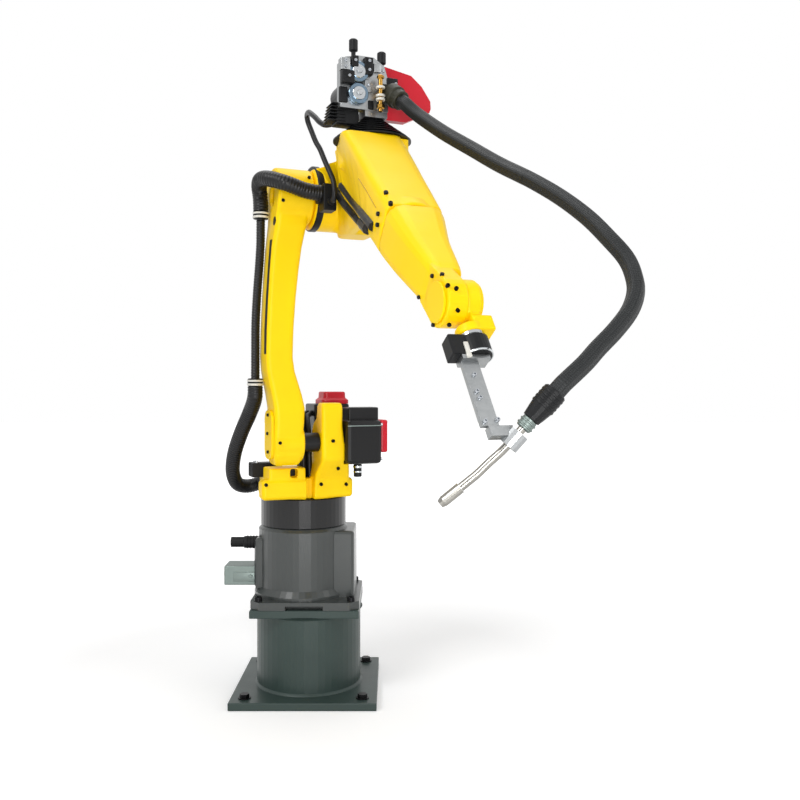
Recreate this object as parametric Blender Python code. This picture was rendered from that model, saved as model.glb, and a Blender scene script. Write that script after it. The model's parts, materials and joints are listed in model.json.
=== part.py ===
"""Six-axis arc-welding robot on a welded steel pedestal, with its wire feeder, torch and hoses.

World frame: metres, +Z up, origin under the middle of the pedestal's floor plate, +X the way the
robot's base faces. Each link is modelled in its own upright frame, with +X forward and +Y to the
robot's left, and hangs from an empty on its joint's axis, which carries the pose of the photograph.
"""

import math

import bmesh
import bpy
from mathutils import Matrix, Vector

# General fits
TOUCH_GAP = 0.0003
RUNNING_GAP = 0.003
OVERRUN = 0.02
FINE_STEPS = 48
COARSE_STEPS = 28
SMALL_STEPS = 16

# Pose of the photograph, in degrees
SWIVEL_ANGLE = -68.0
LOWER_ARM_LEAN = 1.5
FOREARM_PITCH = 36.0
TOOL_PITCH = 55.0

# Joint spacing
SWIVEL_OFFSET = -0.018
SHOULDER_FORWARD = 0.150
SHOULDER_RISE = 0.116
LOWER_ARM_LENGTH = 0.760
ROLL_AXIS_HEIGHT = 0.250
ROLL_PLANE = 0.720
FOREARM_LENGTH = 0.320
FLANGE_REACH = 0.100

# Pedestal
PLATE_SIDE = 0.456
PLATE_THICKNESS = 0.025
PLATE_EDGE = 0.003
ANCHOR_MARGIN = 0.045
ANCHOR_RADIUS = 0.011
PEDESTAL_HEIGHT = 0.292
COLUMN_RADIUS = 0.170
COLUMN_WALL = 0.012
TOP_PLATE_SIDE = 0.343
TOP_PLATE_THICKNESS = 0.025

# Robot base
FOOT_SIDE = 0.343
FOOT_THICKNESS = 0.025
FOOT_CORNER = 0.030
FOOT_SLOT_WIDTH = 0.118
FOOT_SLOT_HEIGHT = 0.014
FOOT_SLOT_DEPTH = 0.030
BASE_HEIGHT = 0.247
BASE_RADIUS = 0.147
BASE_FOOT_RADIUS = 0.160
BASE_RIM = 0.010
BASE_FILLET = 0.028
BASE_PAD_WIDTH = 0.200
BASE_PAD_FRONT = 0.172
INLET_BOX_BACK = 0.150
INLET_BOX_WIDTH = 0.150
INLET_BOX_HEIGHT = 0.170
INLET_BOX_BOTTOM = 0.040
COLLAR_RADIUS = 0.140
HOOD_LENGTH = 0.105
HOOD_WIDTH = 0.090
HOOD_HEIGHT = 0.062
HOOD_BOTTOM = 0.052
PLUG_RADIUS = 0.020
PLUG_LENGTH = 0.089
PLUG_HEIGHT = 0.185

# Turret
COLLAR_HEIGHT = 0.096
TURRET_BOTTOM = BASE_HEIGHT + COLLAR_HEIGHT
TURRET_HEIGHT = 0.066
DECK_TOP = TURRET_BOTTOM + TURRET_HEIGHT
SHOULDER_HEIGHT = DECK_TOP + SHOULDER_RISE
TURRET_RADIUS = 0.148
TURRET_EDGE = 0.008
TURRET_FRONT = 0.145
TURRET_NOTCH = 0.088
TURRET_REAR = -0.135
TURRET_RIGHT = -0.174
TURRET_REAR_RIGHT = -0.118
TURRET_LEFT = 0.124
GROOVE_RIGHT = -0.031
GROOVE_WIDTH = 0.025
GROOVE_DEPTH = 0.026
OUTLET_RIGHT = -0.150
OUTLET_WIDTH = 0.117
OUTLET_FRONT = 0.140
OUTLET_LENGTH = 0.087
OUTLET_RISE = 0.036
OUTLET_HOLE_RIGHT = -0.083
OUTLET_HOLE_WIDTH = 0.024
OUTLET_HOLE_HEIGHT = 0.028
OUTLET_LIP = 0.003
CLAMP_REAR = -0.015
CLAMP_DEPTH = 0.056
CLAMP_RIGHT = -0.182
CLAMP_WIDTH = 0.100
CLAMP_HEIGHT = 0.046
BRACKET_CREST = 0.124
BRACKET_HEIGHT = TURRET_HEIGHT + SHOULDER_RISE + BRACKET_CREST
BRACKET_REACH = 0.195
BRACKET_INNER = 0.004
BRACKET_WIDTH = 0.068

# Motors
SWIVEL_MOTOR_REAR = -0.085
SWIVEL_MOTOR_DEPTH = 0.110
SWIVEL_MOTOR_RIGHT = 0.030
SWIVEL_MOTOR_WIDTH = 0.122
SWIVEL_GEARBOX_RADIUS = 0.052
SWIVEL_GEARBOX_HEIGHT = 0.123
SWIVEL_FLANGE_THICKNESS = 0.010
SWIVEL_MOTOR_HEIGHT = 0.100
SWIVEL_CAP_SIDE = 0.094
SWIVEL_CAP_HEIGHT = 0.040
SHOULDER_NECK_RADIUS = 0.038
SHOULDER_NECK_LENGTH = 0.006
SHOULDER_MOTOR_SIDE = 0.138
SHOULDER_MOTOR_LENGTH = 0.117
TERMINAL_WIDTH = 0.100
TERMINAL_RISE = 0.040
SHOULDER_CAP_LENGTH = 0.024
MOTOR_CORNER = 0.012
REDUCER_RADIUS = 0.030
MOTOR_PLUG_RADIUS = 0.013
MOTOR_PLUG_LENGTH = 0.045

# Lower arm
ARM_RIGHT = -0.150
ARM_WIDTH = 0.088
ARM_HALF_DEPTH = 0.054
ARM_HUB_RADIUS = 0.060
ARM_HUB_INNER = -0.054
ARM_TOP_RADIUS = 0.086
ARM_TOP_INNER = -0.0345
COVER_HEIGHT = 0.150
COVER_LENGTH = 0.088
COVER_THICKNESS = 0.008
COVER_LIFT = 0.026
POCKET_RADIUS = 0.030
POCKET_DEPTH = 0.012

# Elbow casting
ELBOW_HUB_RADIUS = 0.098
ELBOW_LEFT = 0.095
ELBOW_SIDE = 0.090
SEAT_RISE = 0.083
MOTOR_BOX_BACK = -0.010
MOTOR_BOX_LENGTH = 0.115
MOTOR_BOX_RIGHT = 0.060
MOTOR_BOX_WIDTH = 0.100
MOTOR_BOX_DROP = 0.118
MOTOR_BOX_HEIGHT = 0.098
MOTOR_BOX_EDGE = 0.012
SEAT_BOSS_BACK = 0.300
SEAT_BOSS_LENGTH = 0.158
SEAT_BOSS_RIGHT = -0.040
SEAT_BOSS_WIDTH = 0.155
SEAT_BOSS_HEIGHT = 0.064
SEAT_BOSS_EDGE = 0.012
JOINT_RING_RADIUS = 0.074
JOINT_RING_LENGTH = 0.040
CONNECTOR_RIGHT = -0.030
CONNECTOR_WIDTH = 0.040
CONNECTOR_FRONT = 0.148
CONNECTOR_BOTTOM = -0.060
CONNECTOR_HEIGHT = 0.080

# Forearm and wrist
FOREARM_ROOT_RADIUS = 0.074
ROLL_JOURNAL_RADIUS = 0.045
WRIST_ARM_RIGHT = -0.051
WRIST_ARM_LEFT = -0.005
WRIST_ARM_RADIUS = 0.054
WRIST_ARM_ROOT = 0.046
WRIST_SETBACK = 0.060
WRIST_COVER_RADIUS = 0.044
WRIST_COVER_THICKNESS = 0.006
WRIST_RADIUS = 0.049
WRIST_LEFT = 0.028
WRIST_BLOCK_START = 0.052
WRIST_BLOCK_WIDTH = 0.047
WRIST_BLOCK_DEPTH = 0.050
WRIST_NECK_RADIUS = 0.030
WRIST_NECK_START = 0.070
FLANGE_RADIUS = 0.028
FLANGE_THICKNESS = 0.010

# Feeder
INSULATOR_RADIUS = 0.107
INSULATOR_TOP_RADIUS = 0.032
INSULATOR_HEIGHT = 0.060
INSULATOR_BASE = 0.005
FEEDER_FORWARD = 0.385
FEEDER_LEFT = 0.033
FEEDER_FRONT = 0.420
FEEDER_THICKNESS = 0.026
FEEDER_RIGHT = -0.071
FEEDER_WIDTH = 0.137
FEEDER_BOTTOM = 0.160
FEEDER_HEIGHT = 0.143
FEEDER_MOTOR_RADIUS = 0.037
FEEDER_MOTOR_LENGTH = 0.110
FEEDER_MOTOR_LEFT = -0.018
FEEDER_MOTOR_HEIGHT = 0.222
FEEDER_COVER_WIDTH = 0.139
FEEDER_COVER_HEIGHT = 0.146
FEEDER_COVER_BOTTOM = 0.147
FEEDER_COVER_DEPTH = 0.023
ROLL_RADIUS = 0.028
ROLL_WIDTH = 0.012
ROLL_LEFT = -0.022
LOWER_ROLL_HEIGHT = 0.198
UPPER_ROLL_HEIGHT = 0.2565
KNOB_RADIUS = 0.012
KNOB_HEIGHT = 0.046
KNOB_SETBACK = 0.013
RIGHT_KNOB_LEFT = -0.029
LEFT_KNOB_LEFT = 0.052
LEFT_KNOB_DROP = 0.024
SOCKET_START = (0.4375, 0.072, 0.203)
SOCKET_DIRECTION = (0.77, 0.27, -0.58)
SOCKET_RADIUS = 0.026
SOCKET_LENGTH = 0.045

# Torch
SENSOR_RADIUS = 0.032
SENSOR_LENGTH = 0.045
SENSOR_BOX_RIGHT = -0.062
SENSOR_BOX_HEIGHT = 0.036
SENSOR_BOX_OVERHANG = 0.004
TOOL_PLATE_WIDTH = 0.038
TOOL_PLATE_THICKNESS = 0.010
TOOL_PLATE_LENGTH = 0.160
TOOL_PLATE_RIGHT = -0.043
TOOL_FOOT_WIDTH = 0.061
CLAMP_RADIUS = 0.021
CLAMP_DISTANCE = 0.1218
CLAMP_LENGTH = 0.034
HANDLE_RADIUS = 0.024
HANDLE_LENGTH = 0.0713
NECK_RADIUS = 0.0085
NOZZLE_RADIUS = 0.011
NOZZLE_LENGTH = 0.050
HOSE_RADIUS = 0.019

FINISHES = {
    "yellow_enamel": ((0.93, 0.66, 0.02), 0.38, 0.0),
    "base_enamel": ((0.11, 0.12, 0.12), 0.45, 0.0),
    "black_plastic": ((0.02, 0.02, 0.02), 0.45, 0.0),
    "red_plastic": ((0.62, 0.02, 0.04), 0.40, 0.0),
    "aluminium": ((0.62, 0.62, 0.60), 0.35, 1.0),
    "chrome": ((0.75, 0.75, 0.75), 0.12, 1.0),
    "rubber": ((0.015, 0.015, 0.015), 0.65, 0.0),
}

# Rows from the bottom up: height, then rear and front of BRACKET_REACH, then right and left of BRACKET_WIDTH
BRACKET_SECTION_SHARES = (
    (0.02, -0.10, 0.73, -0.40, 1.66),
    (0.22, 0.18, 0.80, -0.20, 1.56),
    (0.38, 0.20, 0.96, 0.00, 1.38),
    (0.44, 0.24, 1.00, 0.00, 1.34),
    (0.62, 0.32, 1.00, 0.00, 1.09),
    (0.78, 0.46, 1.00, 0.00, 1.00),
    (0.84, 0.64, 1.00, 0.00, 1.00),
    (0.96, 0.68, 1.00, 0.00, 1.00),
    (1.00, 0.72, 0.96, 0.06, 0.94),
)

# Rows up the swivel motor's cap: share of its height, then of its side
SWIVEL_CAP_SHARES = (
    (0.00, 1.00),
    (0.30, 1.00),
    (0.50, 0.82),
    (0.92, 0.80),
    (1.00, 0.74),
)

# Rows up the arm: share of its length, half depth, then right and left of ARM_WIDTH from its right face
ARM_SECTION_SHARES = (
    (-0.090, 0.50, 0.14, 0.90),
    (-0.078, 0.78, 0.05, 0.97),
    (-0.045, 1.00, 0.00, 1.00),
    (0.030, 1.06, 0.00, 1.02),
    (0.145, 1.02, 0.00, 1.10),
    (0.25, 0.93, -0.18, 0.86),
    (0.35, 0.89, -0.29, 0.67),
    (0.59, 0.91, -0.23, 0.76),
    (0.79, 0.96, -0.12, 0.95),
    (0.88, 1.10, -0.02, 1.10),
    (1.00, 1.20, 0.04, 1.20),
)

# Rows along the casting: share of ROLL_PLANE, low and high of ROLL_AXIS_HEIGHT, then right, left and
# the right side's lower edge of ELBOW_SIDE
ELBOW_SECTION_SHARES = (
    (-0.080, 0.05, 0.60, -0.33, 0.80, -0.33),
    (0.000, -0.24, 0.96, -0.33, 0.98, -0.28),
    (0.136, -0.28, 1.32, -0.36, 1.00, 0.62),
    (0.240, -0.06, 1.40, -0.95, 1.00, 0.62),
    (0.346, 0.18, 1.42, -1.00, 1.00, 0.52),
    (0.555, 0.52, 1.38, -0.97, 0.97, -0.08),
    (0.764, 0.66, 1.32, -0.90, 0.90, -0.58),
    (0.930, 0.73, 1.28, -0.82, 0.82, -0.74),
    (0.990, 0.74, 1.26, -0.80, 0.80, -0.76),
)

# Rows along the forearm: share of the way to its wrist arm, half height, then right and left, of its root
FOREARM_SECTION_SHARES = (
    (0.010, 0.95, -0.98, 0.98),
    (0.10, 0.94, -0.98, 0.93),
    (0.30, 0.88, -0.95, 0.74),
    (0.52, 0.80, -0.89, 0.54),
    (0.75, 0.73, -0.80, 0.42),
    (0.92, 0.68, -0.73, 0.33),
    (1.00, 0.64, -0.68, 0.26),
)

# Points round the red cover's edge: shares of its width and height
COVER_OUTLINE_SHARES = (
    (0.00, 0.00),
    (0.45, 0.00),
    (0.97, 0.24),
    (1.00, 0.32),
    (0.99, 0.46),
    (0.80, 0.72),
    (0.57, 0.90),
    (0.00, 1.00),
)

# Points round the drive plate's edge, seen from the front: shares of its width and height
DRIVE_PLATE_SHARES = (
    (0.00, 0.00),
    (1.00, 0.00),
    (1.00, 0.62),
    (0.92, 0.86),
    (0.70, 1.00),
    (0.34, 1.00),
    (0.10, 0.94),
    (0.00, 0.84),
)

# Places on the photographed routes, chosen by hand, in metres
LOWER_CONDUIT_RADIUS = 0.024
ARM_CONDUIT_RADIUS = 0.014
COUPLING_LENGTH = 0.025

# Forward, left and up from the shoulder axis, with the robot's turret, as far as the arm's coupling
LOWER_CONDUIT_ROUTE = (
    (-0.155, -0.088, -0.150),
    (-0.168, -0.088, -0.150),
    (-0.190, -0.106, -0.161),
    (-0.190, -0.144, -0.169),
    (-0.162, -0.186, -0.156),
    (-0.110, -0.213, -0.110),
    (-0.050, -0.220, -0.045),
    (0.010, -0.212, 0.023),
    (0.060, -0.199, 0.080),
    (0.105, -0.1927, 0.123),
)

# Up the side of the lower arm: share of ARM_WIDTH from its right face, then of the way between couplings
ARM_CONDUIT_BACK = -0.030
ARM_CONDUIT_START_SHARE = 0.263
ARM_CONDUIT_DROP = 0.0695
ARM_CONDUIT_SHARES = (
    (-0.472, 0.00),
    (-0.472, 0.061),
    (-0.474, 0.183),
    (-0.472, 0.347),
    (-0.426, 0.530),
    (-0.347, 0.734),
    (-0.3125, 0.866),
    (-0.3125, 1.00),
)

# Forward, left and up from the elbow axis, with the lower arm
UPPER_CONDUIT_ROUTE = (
    (-0.030, -0.1775, -0.044),
    (-0.030, -0.1775, -0.030),
    (-0.028, -0.180, 0.000),
    (-0.010, -0.188, 0.028),
    (0.030, -0.192, 0.040),
    (0.080, -0.180, 0.035),
    (0.118, -0.140, 0.019),
    (0.124, -0.085, 0.002),
    (0.124, -0.048, -0.003),
    (0.124, -0.0303, -0.003),
)

# Forward, left and up from the elbow axis, level in the photograph's pose
FEEDER_CABLE_RADIUS = 0.008
FEEDER_CABLE_ROUTE = (
    (0.1683, -0.010, -0.036),
    (0.180, -0.010, -0.036),
    (0.187, -0.010, -0.012),
    (0.178, -0.010, 0.018),
    (0.163, -0.018, 0.052),
    (0.149, -0.027, 0.083),
    (0.132, -0.037, 0.122),
    (0.118, -0.046, 0.147),
    (0.099, -0.054, 0.184),
    (0.090, -0.062, 0.213),
    (0.098, -0.067, 0.229),
    (0.134, -0.073, 0.227),
    (0.175, -0.078, 0.211),
    (0.208, -0.076, 0.192),
    (0.238, -0.070, 0.169),
    (0.262, -0.060, 0.156),
    (0.290, -0.040, 0.156),
    (0.318, -0.012, 0.158),
    (0.345, 0.010, 0.160),
    (0.3677, 0.010, 0.160),
)
HOSE_UPPER_SHARE = 0.38
HOSE_MIDDLE_SHARE = 0.70
HOSE_ROUTE = (
    (0.519, 0.113, 0.129),
    (0.606, 0.146, 0.063),
    (0.695, 0.180, 0.003),
    (0.782, 0.210, -0.054),
    (0.870, 0.240, -0.106),
    (0.947, 0.271, -0.159),
    (1.021, 0.294, -0.217),
    (1.081, 0.308, -0.273),
    (1.118, 0.321, -0.316),
    (1.149, 0.317, -0.355),
    (1.171, 0.305, -0.392),
    (1.187, 0.278, -0.431),
    (1.197, 0.237, -0.470),
    (1.201, 0.192, -0.508),
    (1.204, 0.159, -0.538),
)
TORCH_AXIS_START = (0.171, 0.098, 0.069)
TORCH_AXIS_END = (0.2386, 0.0081, -0.0223)
NECK_ROUTE = (
    (0.2386, 0.0081, -0.0223),
    (0.255, -0.020, -0.047),
    (0.269, -0.043, -0.069),
    (0.282, -0.070, -0.091),
)


def clear_scene():
    """Remove whatever objects the file starts with."""
    for thing in list(bpy.data.objects):
        bpy.data.objects.remove(thing)


def make_material(name, finish):
    """A Principled material with the finish's colour, roughness and metallic value."""
    colour, roughness, metallic = FINISHES[finish]
    material = bpy.data.materials.new(name)
    material.use_nodes = True
    shader = material.node_tree.nodes["Principled BSDF"]
    shader.inputs["Base Color"].default_value = (*colour, 1.0)
    shader.inputs["Roughness"].default_value = roughness
    shader.inputs["Metallic"].default_value = metallic
    return material


def joint_empty(name, parent, location, axis, degrees):
    """An empty on a joint's axis, turned about it to the pose of the photograph."""
    empty = bpy.data.objects.new(name, None)
    bpy.context.scene.collection.objects.link(empty)
    empty.parent = parent
    empty.location = location
    empty.rotation_euler["XYZ".index(axis)] = math.radians(degrees)
    return empty


def add_piece(name, bm, finish, parent=None):
    """Turn a bmesh into a named object with its own material, shaded smooth but for sharp edges."""
    bmesh.ops.recalc_face_normals(bm, faces=bm.faces)
    mesh = bpy.data.meshes.new(name)
    bm.to_mesh(mesh)
    bm.free()
    mesh.shade_smooth()
    mesh.set_sharp_from_angle(angle=math.radians(35))
    mesh.materials.append(make_material(name, finish))
    piece = bpy.data.objects.new(name, mesh)
    bpy.context.scene.collection.objects.link(piece)
    piece.parent = parent
    return piece


def combine(piece, name, bm, operation):
    """Join or cut a piece with a second shape, which stays in the file as a hidden tool."""
    tool = add_piece(name, bm, "black_plastic", piece.parent)
    tool.hide_render = True
    tool.display_type = "WIRE"
    modifier = piece.modifiers.new(name, "BOOLEAN")
    modifier.operation = operation
    modifier.object = tool


def join(piece, name, bm):
    """Weld a second shape to a piece."""
    combine(piece, name, bm, "UNION")


def cut(piece, name, bm):
    """Cut a second shape out of a piece."""
    combine(piece, name, bm, "DIFFERENCE")


def together(shapes):
    """One bmesh that holds several separate shapes."""
    whole = bmesh.new()
    for shape in shapes:
        mesh = bpy.data.meshes.new("shape")
        shape.to_mesh(mesh)
        shape.free()
        whole.from_mesh(mesh)
        bpy.data.meshes.remove(mesh)
    return whole


def block(low, high, edge=0.0, segments=2):
    """A box between two corners, with all its edges rounded."""
    size = Vector(high) - Vector(low)
    bm = bmesh.new()
    bmesh.ops.create_cube(bm, size=1.0)
    bmesh.ops.scale(bm, vec=size, verts=bm.verts)
    bmesh.ops.translate(bm, vec=Vector(low) + size / 2, verts=bm.verts)
    if edge:
        bmesh.ops.bevel(bm, geom=bm.edges[:], offset=edge, segments=segments, affect="EDGES", profile=0.5)
    return bm


def moved(bm, matrix):
    """The same bmesh put through a matrix."""
    bmesh.ops.transform(bm, matrix=matrix, verts=bm.verts)
    return bm


def aim(start, end):
    """The matrix that stands a shape made along +Z on a line from start towards end."""
    direction = Vector(end) - Vector(start)
    return Matrix.Translation(start) @ direction.to_track_quat("Z", "Y").to_matrix().to_4x4()


AXIS_TURNS = {
    "X": Matrix.Rotation(math.radians(90), 4, "Y"),
    "Y": Matrix.Rotation(math.radians(-90), 4, "X"),
    "Z": Matrix.Identity(4),
}


def turned(profile, axis="Z", steps=FINE_STEPS, centre=(0, 0, 0)):
    """A solid turned about an axis from (radius, height) points that start and end on the axis."""
    bm = bmesh.new()
    points = [bm.verts.new((radius, 0, height)) for radius, height in profile]
    edges = [bm.edges.new(pair) for pair in zip(points, points[1:])]
    bmesh.ops.spin(bm, geom=points + edges, cent=(0, 0, 0), axis=(0, 0, 1), angle=math.tau,
                   steps=steps, use_merge=True)
    bmesh.ops.remove_doubles(bm, verts=bm.verts, dist=TOUCH_GAP / 10)
    return moved(bm, Matrix.Translation(centre) @ AXIS_TURNS[axis])


def disc(radius, low, high, axis="Z", edge=0.0, steps=FINE_STEPS, centre=(0, 0, 0)):
    """A cylinder between two heights on its axis, with chamfered rims."""
    if edge:
        profile = [(0, low), (radius - edge, low), (radius, low + edge),
                   (radius, high - edge), (radius - edge, high), (0, high)]
    else:
        profile = [(0, low), (radius, low), (radius, high), (0, high)]
    return turned(profile, axis, steps, centre)


def rounded_rectangle(half_x, half_y, corner, steps=3):
    """Points round a rectangle whose corners are arcs."""
    points = []
    for turn, (sign_x, sign_y) in enumerate(((1, 1), (-1, 1), (-1, -1), (1, -1))):
        centre_x = sign_x * (half_x - corner)
        centre_y = sign_y * (half_y - corner)
        for step in range(steps + 1):
            angle = math.radians(90) * (turn + step / steps)
            points.append((centre_x + corner * math.cos(angle), centre_y + corner * math.sin(angle)))
    return points


def loft(rings):
    """A solid skinned over rings of as many points each, and closed at both ends."""
    bm = bmesh.new()
    loops = [[bm.verts.new(point) for point in ring] for ring in rings]
    for lower, upper in zip(loops, loops[1:]):
        count = len(lower)
        for index in range(count):
            following = (index + 1) % count
            bm.faces.new((lower[index], lower[following], upper[following], upper[index]))
    bm.faces.new(loops[0])
    bm.faces.new(reversed(loops[-1]))
    return bm


def section(axis, place, low_u, high_u, low_v, high_v, corner_share, foot_u=None):
    """Points round a rounded rectangle or trapezium that is square to an axis.

    The corners are a share of the smaller half. A foot_u moves the low side's edge at low_v, which
    slants that side.
    """
    half_u = (high_u - low_u) / 2
    half_v = (high_v - low_v) / 2
    corner = corner_share * min(half_u, half_v)
    foot_u = low_u if foot_u is None else foot_u
    ring = []
    for u, v in rounded_rectangle(half_u, half_v, corner):
        height_share = (v + half_v) / (2 * half_v)
        width_share = (half_u - u) / (2 * half_u)
        edge = foot_u + (low_u - foot_u) * height_share
        u = high_u - (high_u - edge) * width_share
        v += (low_v + high_v) / 2
        ring.append((place, u, v) if axis == "X" else (u, v, place))
    return ring


def smooth_rows(rows, steps):
    """Rows of shares with more rows between them, along the curve through each column."""
    ends = [rows[0], *rows, rows[-1]]
    smooth = []
    for before, here, there, after in zip(ends, ends[1:], ends[2:], ends[3:]):
        for step in range(steps):
            s = step / steps
            smooth.append([
                b + (c - a) * s / 2 + (2 * a - 5 * b + 4 * c - d) * s ** 2 / 2
                + (3 * b - a - 3 * c + d) * s ** 3 / 2
                for a, b, c, d in zip(before, here, there, after)])
    return [*smooth, list(rows[-1])]


def prism(outline, low, high, axis="Y"):
    """An outline of (x, z), (x, y) or (y, z) points extruded along the axis that is left."""
    def place(u, v, w):
        return {"X": (w, u, v), "Y": (u, w, v), "Z": (u, v, w)}[axis]
    return loft([[place(u, v, w) for u, v in outline] for w in (low, high)])


def arc(centre, radius, start, end, steps):
    """Points along an arc, from one angle to another in degrees."""
    angles = [math.radians(start + (end - start) * step / steps) for step in range(steps + 1)]
    return [(centre[0] + radius * math.cos(a), centre[1] + radius * math.sin(a)) for a in angles]


def smooth_route(points, spacing):
    """Points a set spacing apart along the Catmull-Rom curve through a route with straight ends."""
    route = [Vector(point) for point in points]
    dense = []
    for before, here, there, after in zip(route, route[1:], route[2:], route[3:]):
        for step in range(24):
            s = step / 24
            dense.append(0.5 * (2 * here + (there - before) * s
                                + (2 * before - 5 * here + 4 * there - after) * s ** 2
                                + (3 * here - before - 3 * there + after) * s ** 3))
    dense.append(route[-2])
    total = sum((b - a).length for a, b in zip(dense, dense[1:]))
    count = max(2, round(total / spacing))
    even = [route[0], dense[0]]
    travelled = 0.0
    for a, b in zip(dense, dense[1:]):
        travelled += (b - a).length
        if travelled >= total * (len(even) - 1) / count and len(even) - 1 < count:
            even.append(b)
    even += [dense[-1], route[-1]]
    return even


def tube(name, points, radius, finish, parent=None, resolution=2):
    """A cord: a round curve along points that are already close together, with closed ends."""
    curve = bpy.data.curves.new(name, "CURVE")
    curve.dimensions = "3D"
    curve.bevel_depth = radius
    curve.bevel_resolution = resolution
    curve.use_fill_caps = True
    spline = curve.splines.new("POLY")
    spline.points.add(len(points) - 1)
    for point, place in zip(spline.points, points):
        point.co = (*place, 1.0)
    curve.materials.append(make_material(name, finish))
    piece = bpy.data.objects.new(name, curve)
    bpy.context.scene.collection.objects.link(piece)
    piece.parent = parent
    return piece


def build_pedestal():
    """Floor plate, column and the plate that the robot's foot is bolted to."""
    half = PLATE_SIDE / 2
    plate = add_piece("pedestal_plate", block((-half, -half, 0), (half, half, PLATE_THICKNESS), PLATE_EDGE),
                      "base_enamel")
    reach = half - ANCHOR_MARGIN
    holes = [disc(ANCHOR_RADIUS, -OVERRUN, PLATE_THICKNESS + OVERRUN, steps=SMALL_STEPS, centre=(x, y, 0))
             for x in (-reach, reach) for y in (-reach, reach)]
    cut(plate, "anchor_holes", together(holes))

    top_plate_bottom = PEDESTAL_HEIGHT - TOP_PLATE_THICKNESS
    column = add_piece("pedestal_column",
                       disc(COLUMN_RADIUS, PLATE_THICKNESS + TOUCH_GAP, top_plate_bottom - TOUCH_GAP),
                       "base_enamel")
    cut(column, "column_bore", disc(COLUMN_RADIUS - COLUMN_WALL, 0, PEDESTAL_HEIGHT))

    half = TOP_PLATE_SIDE / 2
    top_plate = block((-half, -half, top_plate_bottom), (half, half, PEDESTAL_HEIGHT), PLATE_EDGE)
    add_piece("pedestal_top_plate", top_plate, "base_enamel")


def build_base(base):
    """Cast base with its bolted foot, connectors and the collar under the turret."""
    foot = prism(rounded_rectangle(FOOT_SIDE / 2, FOOT_SIDE / 2, FOOT_CORNER, steps=1), TOUCH_GAP,
                 FOOT_THICKNESS, "Z")
    casting = add_piece("base_casting", foot, "base_enamel", base)
    shell = turned([
        (0, FOOT_THICKNESS / 2),
        (BASE_FOOT_RADIUS, FOOT_THICKNESS / 2),
        (BASE_FOOT_RADIUS, FOOT_THICKNESS + BASE_RIM),
        (BASE_RADIUS, FOOT_THICKNESS + BASE_FILLET),
        (BASE_RADIUS, BASE_HEIGHT - BASE_RIM),
        (BASE_RADIUS - BASE_RIM, BASE_HEIGHT),
        (0, BASE_HEIGHT),
    ], centre=(SWIVEL_OFFSET, 0, 0))
    join(casting, "base_shell", shell)
    pad = block((0, -BASE_PAD_WIDTH / 2, FOOT_THICKNESS / 2),
                (BASE_PAD_FRONT + SWIVEL_OFFSET, BASE_PAD_WIDTH / 2, BASE_HEIGHT - BASE_RIM), BASE_RIM)
    join(casting, "base_pad", pad)
    back = SWIVEL_OFFSET - INLET_BOX_BACK
    inlet_box = block((back, -INLET_BOX_WIDTH / 2, INLET_BOX_BOTTOM),
                      (0, INLET_BOX_WIDTH / 2, INLET_BOX_BOTTOM + INLET_BOX_HEIGHT), BASE_RIM)
    join(casting, "inlet_box", inlet_box)
    slot = block((-FOOT_SLOT_WIDTH / 2, -FOOT_SIDE / 2 - OVERRUN, -OVERRUN),
                 (FOOT_SLOT_WIDTH / 2, -FOOT_SIDE / 2 + FOOT_SLOT_DEPTH, FOOT_SLOT_HEIGHT))
    cut(casting, "foot_slot", slot)

    add_piece("swivel_collar",
              disc(COLLAR_RADIUS, BASE_HEIGHT + TOUCH_GAP, TURRET_BOTTOM - TOUCH_GAP, edge=PLATE_EDGE,
                   centre=(SWIVEL_OFFSET, 0, 0)),
              "black_plastic", base)
    add_piece("connector_hood",
              block((back - HOOD_LENGTH, -HOOD_WIDTH / 2, HOOD_BOTTOM),
                    (back - TOUCH_GAP, HOOD_WIDTH / 2, HOOD_BOTTOM + HOOD_HEIGHT), PLATE_EDGE),
              "aluminium", base)
    plug = turned([
        (0, 0),
        (PLUG_RADIUS, 0),
        (PLUG_RADIUS, PLUG_LENGTH / 2),
        (PLUG_RADIUS - PLATE_EDGE, PLUG_LENGTH / 2 + PLATE_EDGE),
        (PLUG_RADIUS - PLATE_EDGE, PLUG_LENGTH),
        (0, PLUG_LENGTH),
    ], steps=SMALL_STEPS)
    plug = moved(plug, aim((back - TOUCH_GAP, 0, PLUG_HEIGHT), (back - PLUG_LENGTH, 0, PLUG_HEIGHT)))
    add_piece("power_plug", plug, "black_plastic", base)


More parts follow.
